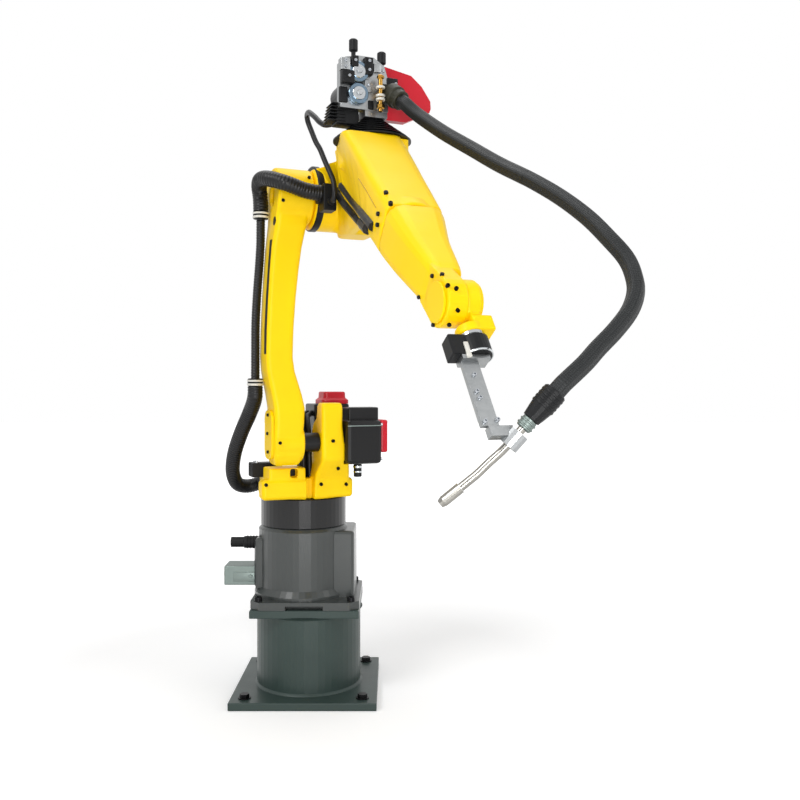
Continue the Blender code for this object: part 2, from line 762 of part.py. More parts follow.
def build_turret(turret):
    """Swivelling casting with the shoulder bracket, its two big motors and the first conduit."""
    casting = add_piece("turret_casting",
                        disc(TURRET_RADIUS, TURRET_BOTTOM, DECK_TOP - 2 * TURRET_EDGE, edge=TURRET_EDGE),
                        "yellow_enamel", turret)
    outline = [
        (TURRET_FRONT, TURRET_RIGHT),
        (TURRET_FRONT, TURRET_LEFT),
        (TURRET_REAR, TURRET_LEFT),
        (TURRET_REAR, TURRET_REAR_RIGHT),
        (TURRET_NOTCH, TURRET_REAR_RIGHT),
        (TURRET_NOTCH, TURRET_RIGHT),
    ]
    deck = prism(outline, TURRET_BOTTOM + PLATE_EDGE, DECK_TOP, "Z")
    bmesh.ops.bevel(deck, geom=deck.edges[:], offset=TURRET_EDGE, segments=1, affect="EDGES")
    join(casting, "turret_deck", deck)
    outlet_left = OUTLET_RIGHT + OUTLET_WIDTH
    outlet_top = DECK_TOP + OUTLET_RISE
    outlet = block((OUTLET_FRONT - OUTLET_LENGTH, OUTLET_RIGHT, TURRET_BOTTOM + 2 * TURRET_EDGE),
                   (OUTLET_FRONT, outlet_left, outlet_top), TURRET_EDGE / 2)
    join(casting, "cable_outlet", outlet)
    rings = []
    for height, rear, front, right, left in smooth_rows(BRACKET_SECTION_SHARES, 2):
        rings.append(section("Z", TURRET_BOTTOM + height * BRACKET_HEIGHT,
                             rear * BRACKET_REACH, front * BRACKET_REACH,
                             BRACKET_INNER + right * BRACKET_WIDTH,
                             BRACKET_INNER + left * BRACKET_WIDTH, 0.25))
    join(casting, "shoulder_bracket", loft(rings))
    hole_top = outlet_top - OUTLET_LIP
    hole = block((OUTLET_FRONT - OUTLET_LENGTH / 3, OUTLET_HOLE_RIGHT, hole_top - OUTLET_HOLE_HEIGHT),
                 (OUTLET_FRONT + OVERRUN, OUTLET_HOLE_RIGHT + OUTLET_HOLE_WIDTH, hole_top))
    cut(casting, "outlet_hole", hole)
    groove = block((TURRET_FRONT - GROOVE_DEPTH, GROOVE_RIGHT, TURRET_BOTTOM - OVERRUN),
                   (TURRET_FRONT + OVERRUN, GROOVE_RIGHT + GROOVE_WIDTH, outlet_top))
    cut(casting, "front_groove", groove)
    clamp = block((CLAMP_REAR, CLAMP_RIGHT, DECK_TOP + TOUCH_GAP),
                  (CLAMP_REAR + CLAMP_DEPTH, CLAMP_RIGHT + CLAMP_WIDTH, DECK_TOP + CLAMP_HEIGHT), PLATE_EDGE)
    add_piece("conduit_clamp", clamp, "black_plastic", turret)

    bracket_left = BRACKET_INNER + BRACKET_WIDTH
    shoulder = (SHOULDER_FORWARD, 0, SHOULDER_HEIGHT)
    neck_end = bracket_left + SHOULDER_NECK_LENGTH
    cut(casting, "neck_clearance",
        disc(SHOULDER_NECK_RADIUS + TOUCH_GAP, bracket_left, neck_end + OVERRUN, "Y", centre=shoulder))
    half = SHOULDER_MOTOR_SIDE / 2
    motor = add_piece("shoulder_motor",
                      disc(SHOULDER_NECK_RADIUS, bracket_left + TOUCH_GAP, neck_end + MOTOR_CORNER, "Y",
                           centre=shoulder, steps=COARSE_STEPS),
                      "black_plastic", turret)
    motor_end = neck_end + SHOULDER_MOTOR_LENGTH
    reach = half + TOUCH_GAP
    pocket = block((SHOULDER_FORWARD - reach, neck_end - TOUCH_GAP, SHOULDER_HEIGHT - reach),
                   (SHOULDER_FORWARD + reach, motor_end, SHOULDER_HEIGHT + half + TERMINAL_RISE))
    cut(casting, "motor_pocket", pocket)
    body = block((SHOULDER_FORWARD - half, neck_end, SHOULDER_HEIGHT - half),
                 (SHOULDER_FORWARD + half, motor_end, SHOULDER_HEIGHT + half), MOTOR_CORNER)
    join(motor, "shoulder_motor_body", body)
    terminal = block((SHOULDER_FORWARD - half / 2, motor_end - TERMINAL_WIDTH, SHOULDER_HEIGHT),
                     (SHOULDER_FORWARD + half / 2, motor_end, SHOULDER_HEIGHT + half + TERMINAL_RISE),
                     MOTOR_CORNER / 3)
    join(motor, "shoulder_terminal_box", terminal)
    reach = half - MOTOR_CORNER
    cap = block((SHOULDER_FORWARD - reach, motor_end + TOUCH_GAP, SHOULDER_HEIGHT - half / 2),
                (SHOULDER_FORWARD + reach, motor_end + SHOULDER_CAP_LENGTH, SHOULDER_HEIGHT + half),
                MOTOR_CORNER / 2)
    add_piece("shoulder_motor_cap", cap, "red_plastic", turret)
    add_piece("shoulder_reducer",
              disc(REDUCER_RADIUS, ARM_HUB_INNER + TOUCH_GAP, BRACKET_INNER - TOUCH_GAP, "Y", centre=shoulder,
                   edge=PLATE_EDGE),
              "black_plastic", turret)
    socket_top = SHOULDER_HEIGHT - half - TOUCH_GAP
    add_piece("motor_connector",
              disc(MOTOR_PLUG_RADIUS, socket_top - MOTOR_PLUG_LENGTH, socket_top, steps=SMALL_STEPS,
                   edge=PLATE_EDGE / 2, centre=(SHOULDER_FORWARD, neck_end + SHOULDER_MOTOR_LENGTH / 2, 0)),
              "black_plastic", turret)

    low = Vector((SWIVEL_MOTOR_REAR, SWIVEL_MOTOR_RIGHT, 0))
    high = low + Vector((SWIVEL_MOTOR_DEPTH, SWIVEL_MOTOR_WIDTH, 0))
    seat_top = DECK_TOP + SWIVEL_GEARBOX_HEIGHT
    add_piece("swivel_gearbox",
              disc(SWIVEL_GEARBOX_RADIUS, DECK_TOP + TOUCH_GAP, seat_top, steps=COARSE_STEPS,
                   centre=(low + high) / 2, edge=PLATE_EDGE),
              "black_plastic", turret)
    flange_bottom = seat_top + TOUCH_GAP
    flange_top = flange_bottom + SWIVEL_FLANGE_THICKNESS
    add_piece("swivel_motor_flange",
              block((low.x, low.y, flange_bottom), (high.x, high.y, flange_top)), "aluminium", turret)
    motor_top = flange_top + SWIVEL_MOTOR_HEIGHT
    add_piece("swivel_motor",
              block((low.x, low.y, flange_top + TOUCH_GAP), (high.x, high.y, motor_top), MOTOR_CORNER / 2),
              "black_plastic", turret)
    cap_bottom = motor_top + TOUCH_GAP
    cap_centre = high - Vector((SWIVEL_CAP_SIDE, SWIVEL_CAP_SIDE, 0)) / 2
    cap_rings = []
    for height, reach in SWIVEL_CAP_SHARES:
        half = reach * SWIVEL_CAP_SIDE / 2
        cap_rings.append(section("Z", cap_bottom + height * SWIVEL_CAP_HEIGHT, cap_centre.x - half,
                                 cap_centre.x + half, cap_centre.y - half, cap_centre.y + half, 0.3))
    add_piece("swivel_motor_cap", loft(cap_rings), "red_plastic", turret)
    arm_frame = Matrix.Translation(shoulder) @ Matrix.Rotation(math.radians(LOWER_ARM_LEAN), 4, "Y")
    top = clipped_route()[0] - Vector((0, 0, COUPLING_LENGTH + TOUCH_GAP))
    route = [Vector(point) + Vector((0, 0, SHOULDER_HEIGHT)) for point in LOWER_CONDUIT_ROUTE]
    route += [arm_frame @ (top - Vector((0, 0, COUPLING_LENGTH))), arm_frame @ top]
    gland_start = Vector((TURRET_REAR - TOUCH_GAP, route[0].y, route[0].z))
    gland = disc(LOWER_CONDUIT_RADIUS + RUNNING_GAP, 0, gland_start.x - route[0].x - TOUCH_GAP,
                 steps=SMALL_STEPS, edge=PLATE_EDGE)
    add_piece("conduit_gland", moved(gland, aim(gland_start, route[0])), "black_plastic", turret)
    tube("lower_conduit", smooth_route(route, LOWER_CONDUIT_RADIUS), LOWER_CONDUIT_RADIUS, "rubber", turret)


def clipped_route():
    """Points of the conduit that is clipped to the lower arm, in the arm's frame."""
    start = ARM_CONDUIT_START_SHARE * LOWER_ARM_LENGTH
    span = LOWER_ARM_LENGTH - ARM_CONDUIT_DROP - start
    return [Vector((ARM_CONDUIT_BACK, ARM_RIGHT + side * ARM_WIDTH, start + rise * span))
            for side, rise in ARM_CONDUIT_SHARES]


def build_lower_arm(arm):
    """Bowed lower arm between the shoulder and the elbow, its cover and the conduit clipped to it."""
    rings = []
    for rise, depth, right, left in smooth_rows(ARM_SECTION_SHARES, 2):
        rings.append(section("Z", rise * LOWER_ARM_LENGTH, -depth * ARM_HALF_DEPTH, depth * ARM_HALF_DEPTH,
                             ARM_RIGHT + right * ARM_WIDTH, ARM_RIGHT + left * ARM_WIDTH, 0.25))
    casting = add_piece("lower_arm", loft(rings), "yellow_enamel", arm)
    join(casting, "shoulder_hub", disc(ARM_HUB_RADIUS, ARM_RIGHT + PLATE_EDGE, ARM_HUB_INNER, "Y",
                                       edge=PLATE_EDGE))
    join(casting, "elbow_hub", disc(ARM_TOP_RADIUS, ARM_RIGHT, ARM_TOP_INNER, "Y", edge=2 * PLATE_EDGE,
                                    centre=(0, 0, LOWER_ARM_LENGTH)))
    pocket = disc(POCKET_RADIUS, ARM_RIGHT - OVERRUN, ARM_RIGHT + POCKET_DEPTH, "Y", steps=COARSE_STEPS,
                  centre=(0, 0, LOWER_ARM_LENGTH))
    cut(casting, "elbow_pocket", pocket)

    outline = rounded_rectangle(COVER_LENGTH / 2, COVER_HEIGHT / 2, COVER_LENGTH / 3)
    plate = prism(outline, -COVER_THICKNESS, -TOUCH_GAP)
    add_piece("lower_arm_cover", moved(plate, Matrix.Translation((0, ARM_RIGHT, COVER_LIFT))),
              "yellow_enamel", arm)

    clipped = clipped_route()
    tube("arm_conduit", smooth_route(clipped, 5 * ARM_CONDUIT_RADIUS), ARM_CONDUIT_RADIUS, "rubber", arm)
    over_elbow = [Vector(point) + Vector((0, 0, LOWER_ARM_LENGTH)) for point in UPPER_CONDUIT_ROUTE]
    tube("upper_conduit", smooth_route(over_elbow, LOWER_CONDUIT_RADIUS), LOWER_CONDUIT_RADIUS,
         "rubber", arm)
    for name, top in (("lower_conduit_coupling", clipped[0]), ("upper_conduit_coupling", over_elbow[0])):
        coupling = disc(LOWER_CONDUIT_RADIUS, top.z - COUPLING_LENGTH, top.z - TOUCH_GAP, edge=PLATE_EDGE,
                        centre=(top.x, top.y, 0), steps=SMALL_STEPS)
        add_piece(name, coupling, "black_plastic", arm)


def levelled(bm):
    """Turn a shape that is level in the photograph's pose into the elbow's own frame."""
    return moved(bm, Matrix.Rotation(math.radians(-FOREARM_PITCH), 4, "Y"))


def build_elbow(elbow, seat):
    """Elbow casting from the hub to the roll joint, with the flat seat that the wire feeder stands on."""
    rings = []
    for along, low, high, right, left, right_foot in smooth_rows(ELBOW_SECTION_SHARES, 2):
        rings.append(section("X", along * ROLL_PLANE, right * ELBOW_SIDE, left * ELBOW_SIDE,
                             low * ROLL_AXIS_HEIGHT, high * ROLL_AXIS_HEIGHT, 0.30,
                             foot_u=right_foot * ELBOW_SIDE))
    casting = add_piece("elbow_casting", loft(rings), "yellow_enamel", elbow)
    join(casting, "hub", disc(ELBOW_HUB_RADIUS, ARM_TOP_INNER + TOUCH_GAP, ELBOW_LEFT, "Y",
                              edge=2 * PLATE_EDGE))
    motor_box = block((MOTOR_BOX_BACK, MOTOR_BOX_RIGHT, -MOTOR_BOX_DROP),
                      (MOTOR_BOX_BACK + MOTOR_BOX_LENGTH, MOTOR_BOX_RIGHT + MOTOR_BOX_WIDTH,
                       MOTOR_BOX_HEIGHT - MOTOR_BOX_DROP), MOTOR_BOX_EDGE)
    join(casting, "motor_box", levelled(motor_box))
    ring_end = ROLL_PLANE - RUNNING_GAP
    join(casting, "joint_ring", disc(JOINT_RING_RADIUS, ring_end - JOINT_RING_LENGTH, ring_end, "X",
                                     edge=PLATE_EDGE, centre=(0, 0, ROLL_AXIS_HEIGHT)))
    seat_boss = block((SEAT_BOSS_BACK, SEAT_BOSS_RIGHT, SEAT_RISE - SEAT_BOSS_HEIGHT),
                      (SEAT_BOSS_BACK + SEAT_BOSS_LENGTH, SEAT_BOSS_RIGHT + SEAT_BOSS_WIDTH,
                       SEAT_RISE + 2 * SEAT_BOSS_EDGE), SEAT_BOSS_EDGE)
    join(casting, "seat_boss", levelled(seat_boss))
    seat_cut = block((-ROLL_PLANE / 2, -2 * ELBOW_SIDE, SEAT_RISE),
                     (ROLL_PLANE, 2 * ELBOW_SIDE, SEAT_RISE + ROLL_AXIS_HEIGHT))
    cut(casting, "seat_cut", levelled(seat_cut))

    connectors = block((ELBOW_HUB_RADIUS + TOUCH_GAP, CONNECTOR_RIGHT, CONNECTOR_BOTTOM),
                       (CONNECTOR_FRONT, CONNECTOR_RIGHT + CONNECTOR_WIDTH,
                        CONNECTOR_BOTTOM + CONNECTOR_HEIGHT), PLATE_EDGE)
    connectors = add_piece("elbow_connectors", connectors, "black_plastic", seat)
    plug_end = FEEDER_CABLE_ROUTE[0]
    cable_plug = disc(1.5 * FEEDER_CABLE_RADIUS, CONNECTOR_FRONT - PLATE_EDGE, plug_end[0] - TOUCH_GAP, "X",
                      steps=SMALL_STEPS, centre=(0, plug_end[1], plug_end[2]))
    join(connectors, "cable_plug", cable_plug)
    tube("feeder_cable", smooth_route(FEEDER_CABLE_ROUTE, 5 * FEEDER_CABLE_RADIUS), FEEDER_CABLE_RADIUS,
         "rubber", seat)


def build_feeder(seat):
    """Wire feeder on its insulating cone: drive plate, motor, cover, pressure knobs and outlet."""
    bottom = SEAT_RISE + TOUCH_GAP
    insulator = turned([
        (0, bottom),
        (INSULATOR_RADIUS, bottom),
        (INSULATOR_RADIUS, bottom + INSULATOR_BASE),
        (INSULATOR_RADIUS - INSULATOR_BASE, bottom + 2 * INSULATOR_BASE),
        (INSULATOR_TOP_RADIUS, bottom + INSULATOR_HEIGHT),
        (0, bottom + INSULATOR_HEIGHT),
    ], centre=(FEEDER_FORWARD, FEEDER_LEFT, 0), steps=COARSE_STEPS)
    add_piece("feeder_insulator", insulator, "black_plastic", seat)
    back = FEEDER_FRONT - FEEDER_THICKNESS
    left = FEEDER_RIGHT + FEEDER_WIDTH
    outline = [(FEEDER_RIGHT + across * FEEDER_WIDTH, FEEDER_BOTTOM + rise * FEEDER_HEIGHT)
               for across, rise in DRIVE_PLATE_SHARES]
    frame = add_piece("feeder_frame", prism(outline, back, FEEDER_FRONT, "X"), "aluminium", seat)
    foot = block((back - FEEDER_THICKNESS, FEEDER_LEFT - INSULATOR_TOP_RADIUS,
                  bottom + INSULATOR_HEIGHT + TOUCH_GAP),
                 (FEEDER_FRONT - PLATE_EDGE, FEEDER_LEFT + INSULATOR_TOP_RADIUS, FEEDER_BOTTOM + OVERRUN))
    join(frame, "feeder_foot", foot)
    motor = disc(FEEDER_MOTOR_RADIUS, back - TOUCH_GAP - FEEDER_MOTOR_LENGTH, back - TOUCH_GAP, "X",
                 edge=PLATE_EDGE, centre=(0, FEEDER_MOTOR_LEFT, FEEDER_MOTOR_HEIGHT), steps=COARSE_STEPS)
    add_piece("feeder_motor", motor, "black_plastic", seat)
    cover_right = left + TOUCH_GAP
    outline = [(cover_right + across * FEEDER_COVER_WIDTH, FEEDER_COVER_BOTTOM + rise * FEEDER_COVER_HEIGHT)
               for across, rise in COVER_OUTLINE_SHARES]
    add_piece("feeder_cover", prism(outline, back - FEEDER_COVER_DEPTH, back, "X"), "red_plastic", seat)
    for name, height in (("lower_feed_roll", LOWER_ROLL_HEIGHT), ("upper_feed_roll", UPPER_ROLL_HEIGHT)):
        roll = disc(ROLL_RADIUS, FEEDER_FRONT + TOUCH_GAP, FEEDER_FRONT + ROLL_WIDTH, "X",
                    edge=PLATE_EDGE / 2, centre=(0, ROLL_LEFT, height), steps=COARSE_STEPS)
        add_piece(name, roll, "aluminium", seat)
    top = FEEDER_BOTTOM + FEEDER_HEIGHT
    for name, leftward, height in (("right_pressure_knob", RIGHT_KNOB_LEFT, top),
                                   ("left_pressure_knob", LEFT_KNOB_LEFT, top - LEFT_KNOB_DROP)):
        centre = (FEEDER_FRONT - KNOB_SETBACK, leftward, height)
        knob = turned([
            (0, -KNOB_HEIGHT / 2),
            (KNOB_RADIUS / 2, -KNOB_HEIGHT / 2),
            (KNOB_RADIUS / 2, KNOB_HEIGHT / 4),
            (KNOB_RADIUS, KNOB_HEIGHT / 3),
            (KNOB_RADIUS, KNOB_HEIGHT - PLATE_EDGE),
            (KNOB_RADIUS - PLATE_EDGE, KNOB_HEIGHT),
            (0, KNOB_HEIGHT),
        ], steps=SMALL_STEPS, centre=centre)
        bore = disc(KNOB_RADIUS / 2 + TOUCH_GAP, -KNOB_HEIGHT / 2 - TOUCH_GAP, KNOB_HEIGHT, steps=SMALL_STEPS,
                    centre=centre)
        cut(frame, name + "_bore", bore)
        add_piece(name, knob, "black_plastic", seat)
    holder = block((FEEDER_FRONT + TOUCH_GAP, left - SOCKET_RADIUS, SOCKET_START[2] - SOCKET_RADIUS),
                   (SOCKET_START[0] + PLATE_EDGE, left, SOCKET_START[2] + SOCKET_RADIUS), PLATE_EDGE / 2)
    socket = add_piece("hose_socket", holder, "black_plastic", seat)
    join(socket, "hose_boot", moved(disc(SOCKET_RADIUS, 0, SOCKET_LENGTH, steps=SMALL_STEPS, edge=PLATE_EDGE),
                                    aim(SOCKET_START, Vector(SOCKET_START) + Vector(SOCKET_DIRECTION))))


def build_forearm(forearm):
    """Rolling forearm that ends in one thick arm, on the right of the wrist."""
    root = FOREARM_ROOT_RADIUS
    body_end = FOREARM_LENGTH - WRIST_SETBACK
    rings = []
    for along, height, right, left in smooth_rows(FOREARM_SECTION_SHARES, 2):
        rings.append(section("X", along * body_end, right * root, left * root,
                             -height * root, height * root, 0.5))
    casting = add_piece("forearm_casting", loft(rings), "yellow_enamel", forearm)
    join(casting, "roll_journal", disc(ROLL_JOURNAL_RADIUS, TOUCH_GAP - RUNNING_GAP, body_end / 2, "X",
                                       edge=PLATE_EDGE / 3))
    bend = (FOREARM_LENGTH, 0, 0)
    outline = arc((FOREARM_LENGTH, 0), WRIST_ARM_RADIUS, -90, 90, 12) + [
        (body_end - OVERRUN, WRIST_ARM_ROOT), (body_end - OVERRUN, -WRIST_ARM_ROOT)]
    join(casting, "wrist_arm", prism(outline, WRIST_ARM_RIGHT, WRIST_ARM_LEFT))
    cover = disc(WRIST_COVER_RADIUS, WRIST_ARM_RIGHT - WRIST_COVER_THICKNESS, WRIST_ARM_RIGHT - TOUCH_GAP,
                 "Y", edge=PLATE_EDGE / 2, centre=bend, steps=COARSE_STEPS)
    add_piece("wrist_arm_cover", cover, "yellow_enamel", forearm)


def build_wrist(wrist):
    """Wrist unit that nods on the left of the forearm's arm and ends at the tool flange."""
    hub_right = WRIST_ARM_LEFT + TOUCH_GAP
    housing = add_piece("wrist_housing", disc(WRIST_RADIUS, hub_right, WRIST_LEFT, "Y", edge=PLATE_EDGE),
                        "yellow_enamel", wrist)
    neck_end = FLANGE_REACH - FLANGE_THICKNESS - TOUCH_GAP
    half = WRIST_BLOCK_DEPTH / 2
    stem = block((0, TOUCH_GAP, -half), (neck_end - PLATE_EDGE, WRIST_LEFT - PLATE_EDGE, half), PLATE_EDGE)
    join(housing, "wrist_stem", stem)
    join(housing, "wrist_block", block((WRIST_BLOCK_START, 2 * TOUCH_GAP, -half - PLATE_EDGE),
                                       (neck_end, WRIST_BLOCK_WIDTH, half + PLATE_EDGE), PLATE_EDGE))
    join(housing, "wrist_neck", disc(WRIST_NECK_RADIUS, WRIST_NECK_START, neck_end, "X", edge=PLATE_EDGE / 2))
    add_piece("wrist_cover",
              disc(WRIST_COVER_RADIUS, WRIST_LEFT + TOUCH_GAP, WRIST_LEFT + WRIST_COVER_THICKNESS, "Y",
                   edge=PLATE_EDGE / 2, steps=COARSE_STEPS), "yellow_enamel", wrist)


def build_torch(tool):
    """Tool flange, shock sensor, bracket, clamp and the swan-neck torch."""
    add_piece("tool_flange", disc(FLANGE_RADIUS, -FLANGE_THICKNESS, -TOUCH_GAP, "X", edge=PLATE_EDGE / 2,
                                  steps=COARSE_STEPS), "chrome", tool)
    sensor = add_piece("shock_sensor",
                       disc(SENSOR_RADIUS, 0, SENSOR_LENGTH, "X", edge=PLATE_EDGE, steps=COARSE_STEPS),
                       "black_plastic", tool)
    box = block((-SENSOR_BOX_OVERHANG, SENSOR_BOX_RIGHT, -SENSOR_BOX_HEIGHT / 2),
                (SENSOR_LENGTH, -SENSOR_RADIUS / 2, SENSOR_BOX_HEIGHT / 2), PLATE_EDGE)
    cut_back = disc(FLANGE_RADIUS + RUNNING_GAP, -OVERRUN, -TOUCH_GAP, "X", steps=COARSE_STEPS)
    join(sensor, "sensor_box", box)
    cut(sensor, "flange_clearance", cut_back)
    plate_start = SENSOR_LENGTH + TOUCH_GAP
    plate_end = SENSOR_LENGTH + TOOL_PLATE_LENGTH
    bracket = add_piece("tool_bracket",
                        block((plate_start, TOOL_PLATE_RIGHT, -TOOL_PLATE_THICKNESS / 2),
                              (plate_end, TOOL_PLATE_RIGHT + TOOL_PLATE_WIDTH, TOOL_PLATE_THICKNESS / 2),
                              PLATE_EDGE / 3),
                        "aluminium", tool)
    join(bracket, "bracket_foot",
         block((plate_start, TOOL_PLATE_RIGHT, -SENSOR_RADIUS / 2),
               (plate_start + TOOL_PLATE_THICKNESS, TOOL_PLATE_RIGHT + TOOL_FOOT_WIDTH, SENSOR_RADIUS / 2)))

    start = Vector(TORCH_AXIS_START)
    end = Vector(TORCH_AXIS_END)
    along = (end - start).normalized()
    handle_end = start + along * HANDLE_LENGTH
    handle = turned([
        (0, 0),
        (HANDLE_RADIUS - PLATE_EDGE, 0),
        (HANDLE_RADIUS, PLATE_EDGE),
        (HANDLE_RADIUS, HANDLE_LENGTH / 2),
        (HANDLE_RADIUS - 2 * PLATE_EDGE, HANDLE_LENGTH),
        (0, HANDLE_LENGTH),
    ], steps=SMALL_STEPS)
    add_piece("torch_handle", moved(handle, aim(start, end)), "black_plastic", tool)
    neck_route = [handle_end + along * TOUCH_GAP, *NECK_ROUTE]
    tube("torch_neck", smooth_route(neck_route, 1.5 * NECK_RADIUS), NECK_RADIUS, "chrome", tool, 4)
    tip = Vector(NECK_ROUTE[-1])
    last = (tip - Vector(NECK_ROUTE[-2])).normalized()
    nozzle = turned([
        (0, 0),
        (NOZZLE_RADIUS, 0),
        (NOZZLE_RADIUS, NOZZLE_LENGTH - 3 * PLATE_EDGE),
        (NOZZLE_RADIUS - PLATE_EDGE, NOZZLE_LENGTH),
        (0, NOZZLE_LENGTH),
    ], steps=SMALL_STEPS)
    add_piece("torch_nozzle", moved(nozzle, aim(tip + last * TOUCH_GAP, tip + last)), "chrome", tool)
    clamp_centre = start + along * CLAMP_DISTANCE
    clamp = add_piece("torch_clamp",
                      moved(disc(CLAMP_RADIUS, -CLAMP_LENGTH / 2, CLAMP_LENGTH / 2, steps=SMALL_STEPS),
                            aim(clamp_centre, clamp_centre + along)), "aluminium", tool)
    arm = block((plate_end + TOUCH_GAP, TOOL_PLATE_RIGHT + TOOL_PLATE_WIDTH / 3, -CLAMP_RADIUS / 2),
                (clamp_centre.x, clamp_centre.y, CLAMP_RADIUS / 3), PLATE_EDGE / 3)
    join(clamp, "clamp_arm", arm)
    cut(clamp, "clamp_bore",
        moved(disc(NECK_RADIUS + TOUCH_GAP, -CLAMP_LENGTH, CLAMP_LENGTH, steps=SMALL_STEPS),
              aim(clamp_centre, clamp_centre + along)))


def build_torch_hose(seat, forearm, wrist, tool):
    """Hose from the feeder's socket to the torch, in line with both.

    Its three stretches hang on the elbow, the forearm and the wrist, and meet end to end.
    """
    bpy.context.view_layer.update()
    start = Vector(SOCKET_START)
    outward = Vector(SOCKET_DIRECTION).normalized()
    to_seat = seat.matrix_world.inverted() @ tool.matrix_world
    end = to_seat @ Vector(TORCH_AXIS_START)
    backward = (end - to_seat @ Vector(TORCH_AXIS_END)).normalized()
    route = smooth_route([
        start + outward * (SOCKET_LENGTH + TOUCH_GAP),
        start + outward * (SOCKET_LENGTH + HOSE_RADIUS),
        *HOSE_ROUTE,
        end + backward * HOSE_RADIUS,
        end + backward * TOUCH_GAP,
    ], 2.5 * HOSE_RADIUS)
    upper_end = round(len(route) * HOSE_UPPER_SHARE)
    middle_end = round(len(route) * HOSE_MIDDLE_SHARE)
    ends = {}
    for index in (upper_end, middle_end):
        tangent = (route[index + 1] - route[index - 1]).normalized()
        ends[index] = [route[index] + tangent * distance for distance in
                       (-HOSE_RADIUS / 2, -TOUCH_GAP / 2, TOUCH_GAP / 2, HOSE_RADIUS / 2)]
    for name, parent, points in (
            ("torch_hose_upper", seat, route[:upper_end] + ends[upper_end][:2]),
            ("torch_hose_middle", forearm,
             ends[upper_end][2:] + route[upper_end + 1:middle_end] + ends[middle_end][:2]),
            ("torch_hose_lower", wrist, ends[middle_end][2:] + route[middle_end + 1:])):
        to_parent = parent.matrix_world.inverted() @ seat.matrix_world
        tube(name, [to_parent @ point for point in points], HOSE_RADIUS, "rubber", parent, 3)


clear_scene()
base_frame = joint_empty("base_frame", None, (0, 0, PEDESTAL_HEIGHT), "Z", 0)
swivel_axis = joint_empty("swivel_axis", None, (SWIVEL_OFFSET, 0, PEDESTAL_HEIGHT), "Z", SWIVEL_ANGLE)
shoulder_axis = joint_empty("shoulder_axis", swivel_axis, (SHOULDER_FORWARD, 0, SHOULDER_HEIGHT), "Y",
                            LOWER_ARM_LEAN)
elbow_axis = joint_empty("elbow_axis", shoulder_axis, (0, 0, LOWER_ARM_LENGTH), "Y",
                         FOREARM_PITCH - LOWER_ARM_LEAN)
feeder_seat = joint_empty("feeder_seat", elbow_axis, (0, 0, 0), "Y", -FOREARM_PITCH)
roll_axis = joint_empty("roll_axis", elbow_axis, (ROLL_PLANE, 0, ROLL_AXIS_HEIGHT), "X", 0)
bend_axis = joint_empty("bend_axis", roll_axis, (FOREARM_LENGTH, 0, 0), "Y", TOOL_PITCH - FOREARM_PITCH)
tool_axis = joint_empty("tool_axis", bend_axis, (FLANGE_REACH, 0, 0), "X", 0)

build_pedestal()
build_base(base_frame)
build_turret(swivel_axis)
build_lower_arm(shoulder_axis)
build_elbow(elbow_axis, feeder_seat)
build_feeder(feeder_seat)
build_forearm(roll_axis)
build_wrist(bend_axis)
build_torch(tool_axis)
build_torch_hose(feeder_seat, roll_axis, bend_axis, tool_axis)
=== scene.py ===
"""Looks of a six-axis arc-welding robot: painted castings, motors, dress pack, wire feeder and torch.

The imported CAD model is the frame. Each class below dresses one sub-assembly in the frame of its own link,
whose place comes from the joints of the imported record. Lengths are in metres.
"""

import json
import logging
import math
from collections.abc import Callable, Iterable, Sequence
from dataclasses import dataclass
from enum import Enum

import bmesh
import bpy
from mathutils import Matrix, Vector
from mathutils.bvhtree import BVHTree


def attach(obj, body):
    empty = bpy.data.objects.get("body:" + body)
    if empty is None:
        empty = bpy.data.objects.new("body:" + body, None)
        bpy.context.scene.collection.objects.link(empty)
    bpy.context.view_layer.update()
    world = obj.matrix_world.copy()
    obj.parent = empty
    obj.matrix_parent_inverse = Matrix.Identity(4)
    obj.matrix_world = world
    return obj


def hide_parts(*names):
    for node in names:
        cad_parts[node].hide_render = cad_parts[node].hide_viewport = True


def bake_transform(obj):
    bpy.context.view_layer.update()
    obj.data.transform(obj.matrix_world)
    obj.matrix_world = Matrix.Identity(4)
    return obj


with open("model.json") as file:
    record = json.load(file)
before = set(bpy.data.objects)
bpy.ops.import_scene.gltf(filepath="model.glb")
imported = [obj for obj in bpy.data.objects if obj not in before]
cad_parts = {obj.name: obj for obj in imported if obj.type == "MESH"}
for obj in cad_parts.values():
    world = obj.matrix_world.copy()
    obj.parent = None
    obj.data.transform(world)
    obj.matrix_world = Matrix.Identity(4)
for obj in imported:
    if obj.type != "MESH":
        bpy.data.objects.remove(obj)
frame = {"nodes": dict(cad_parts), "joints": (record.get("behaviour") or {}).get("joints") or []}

log = logging.getLogger("robot")

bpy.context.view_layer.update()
MILLIMETRE = 0.001
PICTURE_SIDE = 800
SENSOR_WIDTH = 36.0
# Edges sharper than this stay crisp, and the others are shaded smooth
SHARP_ANGLE = math.radians(34)
# A clear coat spreads its highlight a little
COAT_ROUGHNESS = 0.18
# Wear and handling make the gloss vary by this share over each surface
ROUGHNESS_SPREAD = 0.15
# Milled and drawn grain is drawn out along the tool's path, to lines of 1 / 0.03 times their width
TOOL_LINE_SQUEEZE = 0.03
# Points computed between two given points of a route, before they are spaced evenly
ROUTE_STEPS = 24
# Distance between the rings of a swept cable, hose or tube
SWEEP_SPACING = 0.004
# Points of a bead between two given points of its line in the picture
BEAD_STEPS = 12

Point = tuple[float, float, float]
Pixel = tuple[float, float]


